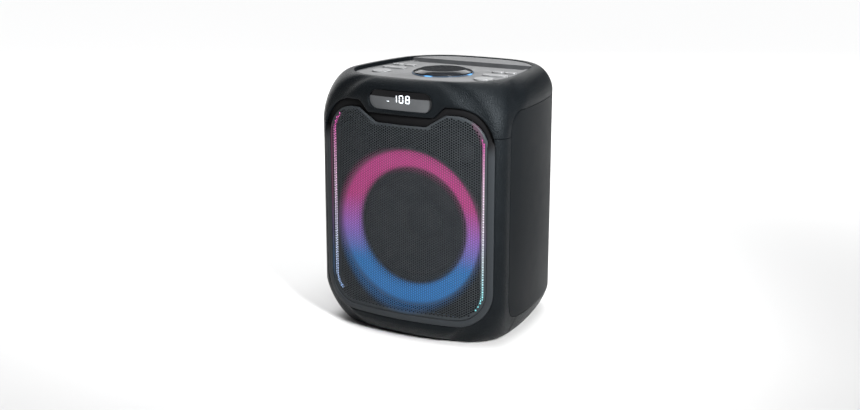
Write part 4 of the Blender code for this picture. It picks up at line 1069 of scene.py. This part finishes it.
def make_display():
    low, high = LENS_LOW.y, LENS_HIGH.y
    window = carve(
        prism(lens_outline(0), "Y", low - 5 * MM, high + 5 * MM),
        front_slab(3.5 * MM, 5.5 * MM), operation="INTERSECT",
    )
    piece("display_window", window, FINISHES["gloss_lens"], "display_lens", sharp=50)
    middle_z = mix(LENS_LOW.z, LENS_HIGH.z, 0.60)
    half_w, half_h = DIGIT_WIDTH / 2, DIGIT_HEIGHT / 2
    segments = []
    for place, digit in enumerate("108"):
        x = (place - 1) * DIGIT_PITCH + 2 * MM
        layout = [
            (x, half_h, DIGIT_WIDTH, False),
            (x - half_w, half_h / 2, half_h, True),
            (x + half_w, half_h / 2, half_h, True),
            (x, 0, DIGIT_WIDTH, False),
            (x - half_w, -half_h / 2, half_h, True),
            (x + half_w, -half_h / 2, half_h, True),
            (x, -half_h, DIGIT_WIDTH, False),
        ]
        for lit, (bar_x, up, length, upright) in zip(DIGIT_BARS[digit], layout):
            if lit:
                segments.append((bar_x, middle_z + up, length - 0.3 * MM, DIGIT_BAR, upright))
    segments.append((-15.5 * MM, middle_z - 3.4 * MM, 3.0 * MM, 0.4 * MM, False))
    digits = flat_bars(segments, low + 0.1 * MM, 0.25 * MM)
    piece("display_digits", digits, glow("digit_light", (0.8, 0.86, 0.92), 1.0))


STRIP_WIDTH = 3 * MM
STRIP_BEND = 32 * MM  # radius of the bent ends, to the middle of the bar
STRIP_TURN = math.radians(42)


def strip_outline():
    """Outline of the right strip: upright, with both its ends bent inwards."""
    outer, inner = STRIP_BEND + STRIP_WIDTH / 2, STRIP_BEND - STRIP_WIDTH / 2
    centre_x = STRIP_HIGH.x - outer
    rise = math.sin(STRIP_TURN)
    low_z, high_z = STRIP_LOW.z + outer * rise, STRIP_HIGH.z - outer * rise
    sides = []
    for radius in (outer, inner):
        side = arc((centre_x, low_z), radius, -STRIP_TURN, 0, 12) + [(centre_x + radius, low_z)]
        side += arc((centre_x, high_z), radius, 0, STRIP_TURN, 12)
        side.append((centre_x + radius * math.cos(STRIP_TURN), high_z + radius * rise))
        sides.append(side)
    return sides[0] + sides[1][::-1]


def make_lights():
    slope = math.atan2(RING_OUTER - RING_INNER, RING_HIGH.y - RING_LOW.y)
    down = RING_SHEET / math.sin(slope)
    profile = [
        (mix(RING_OUTER, RING_INNER, step / 6), mix(RING_LOW.y, RING_HIGH.y - down, step / 6))
        for step in range(7)
    ]
    profile += [(RING_INNER, RING_HIGH.y), (RING_OUTER, RING_LOW.y + down)]
    funnel = turned(profile, "Y", (0, 0, DRIVER_Z), 128)
    piece("ring_light_funnel", funnel, FINISHES["ring_glow"], "ring_light")

    left_glow = strip_glow("strip_glow_left", LEFT_STOPS)
    for side, word, finish in ((-1, "left", left_glow), (1, "right", FINISHES["strip_glow"])):
        outline = [(side * x, z) for x, z in strip_outline()]
        strip = prism(outline, "Y", STRIP_FRONT_Y, STRIP_HIGH.y)
        piece(f"light_strip_bar_{word}", strip, finish, f"light_strip_{word}")


def half_roll(outer, inner, face, rise, thickness):
    """Front and back of a round fold of rubber between two flat lands."""
    middle, roll = (outer + inner) / 2, (outer - inner) / 2
    turns = [math.pi * step / 14 for step in range(15)]

    def fold(radius, height, foot):
        return [
            (middle + radius * math.cos(turn), foot - height * math.sin(turn)) for turn in turns
        ]

    back = fold(roll - thickness, rise - thickness, face + thickness)
    return fold(roll, rise, face), back[::-1]


def dome(radius, low_y, high_y):
    """Profile of a round dome that points to the front, with a flat back."""
    front = [
        (radius * math.sin(turn), high_y - (high_y - low_y) * math.cos(turn))
        for turn in quarter(12)
    ]
    return front + [(0, high_y)]


def make_drivers():
    centre = (0, 0, DRIVER_Z)
    low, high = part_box("woofer_surround")
    sheet, lip = 1.2 * MM, high.y
    land = lip - sheet
    front, back = half_roll(69.5 * MM, 60 * MM, land, land - low.y, sheet)
    profile = [(high.x, lip), (high.x, land), *front, (59 * MM, land), (59 * MM, lip), *back]
    fold = turned(profile, "Y", centre, 128)
    piece("surround_fold", fold, FINISHES["rubber"], "woofer_surround")

    low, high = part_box("woofer_cone")
    neck, neck_y, paper = 18.3 * MM, high.y - 2.5 * MM, 1.4 * MM
    front, back = [], []
    for step in range(11):
        share = step / 10
        radius = mix(high.x, neck, share)
        y = mix(low.y, neck_y, share) + 1.2 * MM * math.sin(math.pi * share)
        front.append((radius, y))
        back.append((radius, y + paper))
    cone = turned(front + back[::-1], "Y", centre, 128)
    piece("cone_curved", cone, FINISHES["cone_paper"], "woofer_cone", "woofer_cone")

    low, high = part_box("woofer_dust_cap")
    cap = turned(dome(high.x, low.y, high.y), "Y", centre, 96, False)
    piece("dust_cap_dome", cap, FINISHES["cone_paper"], "woofer_dust_cap", "woofer_cone")

    for word in ("left", "right"):
        node = f"tweeter_dome_{word}"
        low, high, middle = shape_box(node)
        profile = dome((high.x - low.x) / 2, low.y, high.y)
        silk = turned(profile, "Y", (middle.x, 0, middle.z), 64, False)
        piece(f"silk_dome_{word}", silk, FINISHES["cone_paper"], node, node)


def button_outline(name, grow=0.0):
    low, high, middle = shape_box(name)
    width, depth = (high.x - low.x) / 2 + grow, (high.y - low.y) / 2 + grow
    start = (middle.x - width, middle.y - depth)
    end = (middle.x + width, middle.y + depth)
    return rectangle(start, end, min(width, depth) * 0.999, 16)


def make_panel():
    plate = prism(crest_outline(PANEL_RIM + GAP, 12), "Z", PANEL_LOW.z, PANEL_HIGH.z)
    plate = carve(plate, box((-FAR, -FAR, PANEL_Z), (FAR, DECK_Y, FAR)))
    groove = rounded([
        (-GROOVE_HALF, GROOVE_FRONT_Y, 1.5 * MM), (GROOVE_HALF, GROOVE_FRONT_Y, 1.5 * MM),
        (GROOVE_HALF, DECK_Y, MM), (-GROOVE_HALF, DECK_Y, MM),
    ], 6)
    plate = carve(plate, prism(groove, "Z", -FAR, FAR))
    holes = [prism(button_outline(name, BUTTON_GAP), "Z", -FAR, FAR) for name in BUTTONS]
    plate = carve(plate, *holes)
    floor = PANEL_Z - DISH_DEPTH
    dish = turned(
        [
            (0, floor), (DISH - 4 * MM, floor), (DISH - 2.5 * MM, floor + 0.15 * MM),
            (DISH - MM, PANEL_Z - 0.25 * MM), (DISH + 0.4 * MM, PANEL_Z + 0.05 * MM),
            (DISH + 0.4 * MM, FAR), (0, FAR),
        ],
        "Z", (0, DIAL_Y, 0), 128, False,
    )
    plate = carve(plate, dish, drill(5 * MM, (0, DIAL_Y, 0), "Z"))
    soften(plate, 0.25 * MM, 40)
    piece("control_plate", plate, FINISHES["panel_plastic"], "control_panel", sharp=40)

    bottom = REST_LOW.z
    outer = rectangle((REST_LOW.x, REST_LOW.y), (REST_HIGH.x, REST_HIGH.y), 2.5 * MM, 6)
    inner = rectangle((-GROOVE_HALF, GROOVE_FRONT_Y), (GROOVE_HALF, DECK_Y), 1.4 * MM, 6)
    hollow = prism(inner, "Z", bottom + 1.2 * MM, FAR)
    tray = carve(prism(outer, "Z", bottom, REST_HIGH.z), hollow)
    rib_half = GROOVE_HALF - 3 * MM
    for place in (0.33, 0.67):
        y = mix(GROOVE_FRONT_Y, DECK_Y, place)
        rib = rectangle((-rib_half, y - 0.5 * MM), (rib_half, y + 0.5 * MM), 0.45 * MM, 4)
        rib = prism(rib, "Z", bottom + 0.6 * MM, bottom + 2 * MM)
        tray = carve(tray, rib, operation="UNION")
    piece("groove_liner", tray, FINISHES["rubber"], "device_rest", sharp=40)


def make_dial():
    low, high, middle = shape_box("volume_dial")
    radius, top, foot = high.x, high.z, low.z
    face, bore, hollow = 28 * MM, 3.3 * MM, high.z - 2 * MM
    profile = [
        (0, top - 0.35 * MM), (face - 9 * MM, top - 0.25 * MM), (face - 2.5 * MM, top - 0.02 * MM),
        (face - 1.2 * MM, top), (face, top - 0.12 * MM), (face + 0.7 * MM, top - 0.45 * MM),
        (radius - 0.7 * MM, foot + 1.45 * MM), (radius - 0.15 * MM, foot + 1.05 * MM),
        (radius, foot + 0.6 * MM), (radius, foot), (bore, foot), (bore, hollow), (0, hollow),
    ]
    knob = turned(profile, "Z", (middle.x, middle.y, 0), 144, False)
    piece("dial_knob", knob, FINISHES["dial_finish"], "volume_dial", "volume_dial", sharp=50)

    low, high, middle = shape_box("dial_light_ring")
    inner, outer = 30 * MM, high.x
    profile = [(inner, low.z), (outer, low.z), (outer, high.z), (inner, high.z)]
    light = turned(profile, "Z", (middle.x, middle.y, 0), 128)
    piece("dial_light_band", light, FINISHES["dial_glow"], "dial_light_ring")


def make_buttons():
    """Caps with a crowned top, each with its stem."""
    crown = [(0, 0.9), (-0.12, 0.45), (-0.4, 0.15), (-0.9, 0.02), (-1.6, 0)]  # growth, drop, in mm
    for name in BUTTONS:
        low, high, middle = shape_box(name)
        loops = [placed(button_outline(name), "Z", low.z + 2.5 * MM)]
        loops += [
            placed(button_outline(name, grow * MM), "Z", high.z - drop * MM) for grow, drop in crown
        ]
        stem = drill(2.5 * MM, (middle.x, middle.y, 0), "Z", low.z, low.z + 4 * MM, 24)
        cap = carve(loft(loops), stem, operation="UNION")
        piece(f"{name}_cap", cap, FINISHES["button_plastic"], name, name, sharp=45)


def make_screw(name, axis, sign):
    """Cross-head screw along an axis, with its head at the end that the sign says."""
    low, high, middle = shape_box(name)
    slot = "XYZ".index(axis)
    head, tip = (high[slot], low[slot]) if sign > 0 else (low[slot], high[slot])
    under_head = head - sign * 1.8 * MM
    rim, shank = 2.85 * MM, 1.5 * MM
    profile = [
        (0, head), (1.6 * MM, head - sign * 0.06 * MM), (2.4 * MM, head - sign * 0.5 * MM),
        (rim, head - sign * 1.1 * MM), (rim, under_head), (shank, under_head),
        (shank, tip + sign * 1.2 * MM), (0, tip),
    ]
    foot, face = middle.copy(), middle.copy()
    foot[slot], face[slot] = 0, head
    screw = turned(profile, axis, foot, 32, False)
    for size in ([1.7 * MM, 0.35 * MM], [0.35 * MM, 1.7 * MM]):
        size.insert(slot, 1.1 * MM)
        reach = Vector(size)
        screw = carve(screw, box(face - reach, face + reach))
    piece(f"{name}_cross_head", screw, FINISHES["steel"], name)


def make_socket(name, bore, corner):
    """Body of a socket: a round bore, or a flat mouth with a tongue; an inlet has a pin."""
    low, high, middle = shape_box(name)
    centre, floor = (middle.x, 0, middle.z), low.y + 3 * MM
    body = prism(facing(low, high, corner), "Y", low.y, high.y)
    soften(body, 0.3 * MM, 60)
    if bore:
        body = carve(body, drill(bore / 2, centre, "Y", floor, FAR, 48))
    else:
        mouth = facing(middle - FLAT_MOUTH, middle + FLAT_MOUTH, 0.5 * MM, steps=4)
        body = carve(body, prism(mouth, "Y", floor, FAR))
        tongue = box((middle.x - 4.6 * MM, low.y + 2 * MM, middle.z - 0.2 * MM),
                     (middle.x + 4.6 * MM, high.y - 1.5 * MM, middle.z + 1.3 * MM))
        body = carve(body, tongue, operation="UNION")
    if name == "power_inlet":
        pin = drill(1.1 * MM, centre, "Y", low.y + 2 * MM, high.y - 2 * MM, 24)
        body = carve(body, pin, operation="UNION")
    piece(f"{name}_body", body, FINISHES[SLOTS[name]], name, sharp=40)


def make_jacks():
    """Recessed tray at the back with its sockets, and the screws at the back and below."""
    low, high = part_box("jack_panel")
    rim = 2 * MM
    inner = facing(low, high, JACK_CORNER - rim, -rim)
    tray = prism(facing(low, high, JACK_CORNER), "Y", low.y, high.y)
    tray = carve(tray, prism(inner, "Y", BACK_Y - 7 * MM, FAR))
    holes = []
    for name, bore in SOCKET_BORES.items():
        low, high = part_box(name)
        corner = (high.x - low.x) / 2 * 0.999 if bore else 1.2 * MM
        holes.append(prism(facing(low, high, corner + 0.9 * GAP, GAP), "Y", -FAR, FAR))
        make_socket(name, bore, corner)
    for number in range(1, 5):
        middle = shape_box(f"jack_screw_{number}")[2]
        holes.append(drill(1.9 * MM, (middle.x, 0, middle.z), "Y", steps=32))
        make_screw(f"jack_screw_{number}", "Y", 1)
        make_screw(f"base_screw_{number}", "Z", -1)
    tray = carve(tray, *holes)
    piece("jack_tray", tray, FINISHES[SLOTS["jack_panel"]], "jack_panel", sharp=40)


def make_port():
    """Bass port: a tube whose mouth flares out to the back shell."""
    low, high, middle = shape_box("bass_port")
    bore, sheet, mouth = 23 * MM, 2.5 * MM, high.x
    bend = mouth - bore - sheet
    flare = [(bend * math.sin(turn), high.y - bend * (1 - math.cos(turn))) for turn in quarter(12)]
    inner = [(max(mouth - 0.4 * sheet - narrower, bore), y) for narrower, y in flare]
    outer = [(mouth - narrower, y - sheet) for narrower, y in flare]
    profile = [*inner, (bore, low.y), (bore + sheet, low.y), *outer[::-1]]
    profile.append((mouth, high.y - 0.6 * MM))
    port = turned(profile, "Y", (0, 0, middle.z), 128)
    piece("port_flare", port, FINISHES[SLOTS["bass_port"]], "bass_port", sharp=45)


def make_feet():
    """Rubber pads with a shallow hollow underneath."""
    for name in ("foot_front_left", "foot_front_right", "foot_back_left", "foot_back_right"):
        low, high, middle = shape_box(name)
        radius, sole, hollow = (high.x - low.x) / 2, low.z, low.z + 0.4 * MM
        profile = [
            (0, hollow), (radius - 4 * MM, hollow), (radius - 3.6 * MM, sole),
            (radius - MM, sole), (radius - 0.3 * MM, sole + 0.3 * MM), (radius, sole + MM),
            (radius, high.z), (0, high.z),
        ]
        pad = turned(profile, "Z", (middle.x, middle.y, 0), 64, False)
        piece(f"{name}_pad", pad, FINISHES["rubber"], name, sharp=50)


make_shells()
make_trim()
make_grille()
make_display()
make_lights()
make_drivers()
make_panel()
make_dial()
make_buttons()
make_jacks()
make_port()
make_feet()


# Stage, light and camera.


def floor_paper():
    """Matt white paper, greyer near the object: painted shade that evens out the lamps' pool of
    light and dims the floor's bounce onto the object.
    """
    made = Finish("floor_paper", Roughness=0.8, Specular_IOR_Level=0.1)
    x, y, _z = made.axes()
    # Painted shade: darker base colour within about half a metre of the object.
    far = distance(x, y, (0, 0)).over(0.5, 1.6)
    made.put("Base Color", made.blend(far, (0.62, 0.62, 0.62), (0.95, 0.95, 0.95)))
    return made.material


def make_stage():
    bm = bmesh.new()
    bmesh.ops.create_grid(bm, x_segments=1, y_segments=1, size=40)
    bmesh.ops.translate(bm, verts=bm.verts, vec=(0, 0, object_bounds()[0].z - 0.1 * MM))
    mesh = bpy.data.meshes.new("floor")
    bm.to_mesh(mesh)
    bm.free()
    mesh.materials.append(floor_paper())
    floor = bpy.data.objects.new("floor", mesh)
    bpy.context.scene.collection.objects.link(floor)


def aim(thing, place, target):
    thing.location = place
    thing.rotation_euler = (Vector(target) - Vector(place)).to_track_quat("-Z", "Y").to_euler()


def add_light(lamp, place, target):
    made = bpy.data.objects.new(lamp.name, lamp)
    bpy.context.scene.collection.objects.link(made)
    aim(made, place, target)


def soft_light(name, place, target, size, power, spread=180):
    lamp = bpy.data.lights.new(name, "AREA")
    lamp.shape = "RECTANGLE"
    lamp.size, lamp.size_y = size
    lamp.energy = power
    lamp.spread = math.radians(spread)
    add_light(lamp, place, target)


def around(azimuth, elevation, distance, target):
    """Place seen from a target at an azimuth, from the front towards the right, and elevation."""
    turn, rise = math.radians(azimuth), math.radians(elevation)
    level = math.cos(rise)
    return Vector(target) + distance * Vector(
        (math.sin(turn) * level, -math.cos(turn) * level, math.sin(rise))
    )


MIDDLE = (0, 0, TOP_Z / 2)
SHOULDER = (0.1, -0.09, 0.25)
CAMERA_TARGET = (0.0416, -0.117, 0.1699)

make_stage()
ceiling = bpy.data.lights.new("ceiling", "SUN")
ceiling.energy = 3.1
ceiling.angle = math.radians(50)
add_light(ceiling, (0, 0, 3), (0, 0, 0))
soft_light("back_softbox", around(209, 36, 1.9, MIDDLE), MIDDLE, (2.0, 0.8), 20)
soft_light("right_softbox", around(56, 27, 1.1, SHOULDER), SHOULDER, (0.3, 0.3), 3.0, 45)
soft_light("left_fill", around(-120, 3, 1.7, MIDDLE), MIDDLE, (0.9, 0.4), 5)
soft_light("left_rim", around(-112, 32, 1.6, MIDDLE), MIDDLE, (0.35, 1.2), 6)

world = bpy.data.worlds.new("studio")
world.use_nodes = True
backdrop = world.node_tree.nodes["Background"].inputs
backdrop["Color"].default_value = (0.9, 0.92, 0.95, 1)
backdrop["Strength"].default_value = 0.08
bpy.context.scene.world = world

camera_data = bpy.data.cameras.new("camera")
camera_data.lens = 52.83
camera_data.sensor_width = 36
camera_data.clip_start = 0.01
camera = bpy.data.objects.new("camera", camera_data)
bpy.context.scene.collection.objects.link(camera)
aim(camera, around(29.14, 14.61, 1.4427, CAMERA_TARGET), CAMERA_TARGET)
bpy.context.scene.camera = camera
bpy.context.scene.view_settings.view_transform = "Standard"
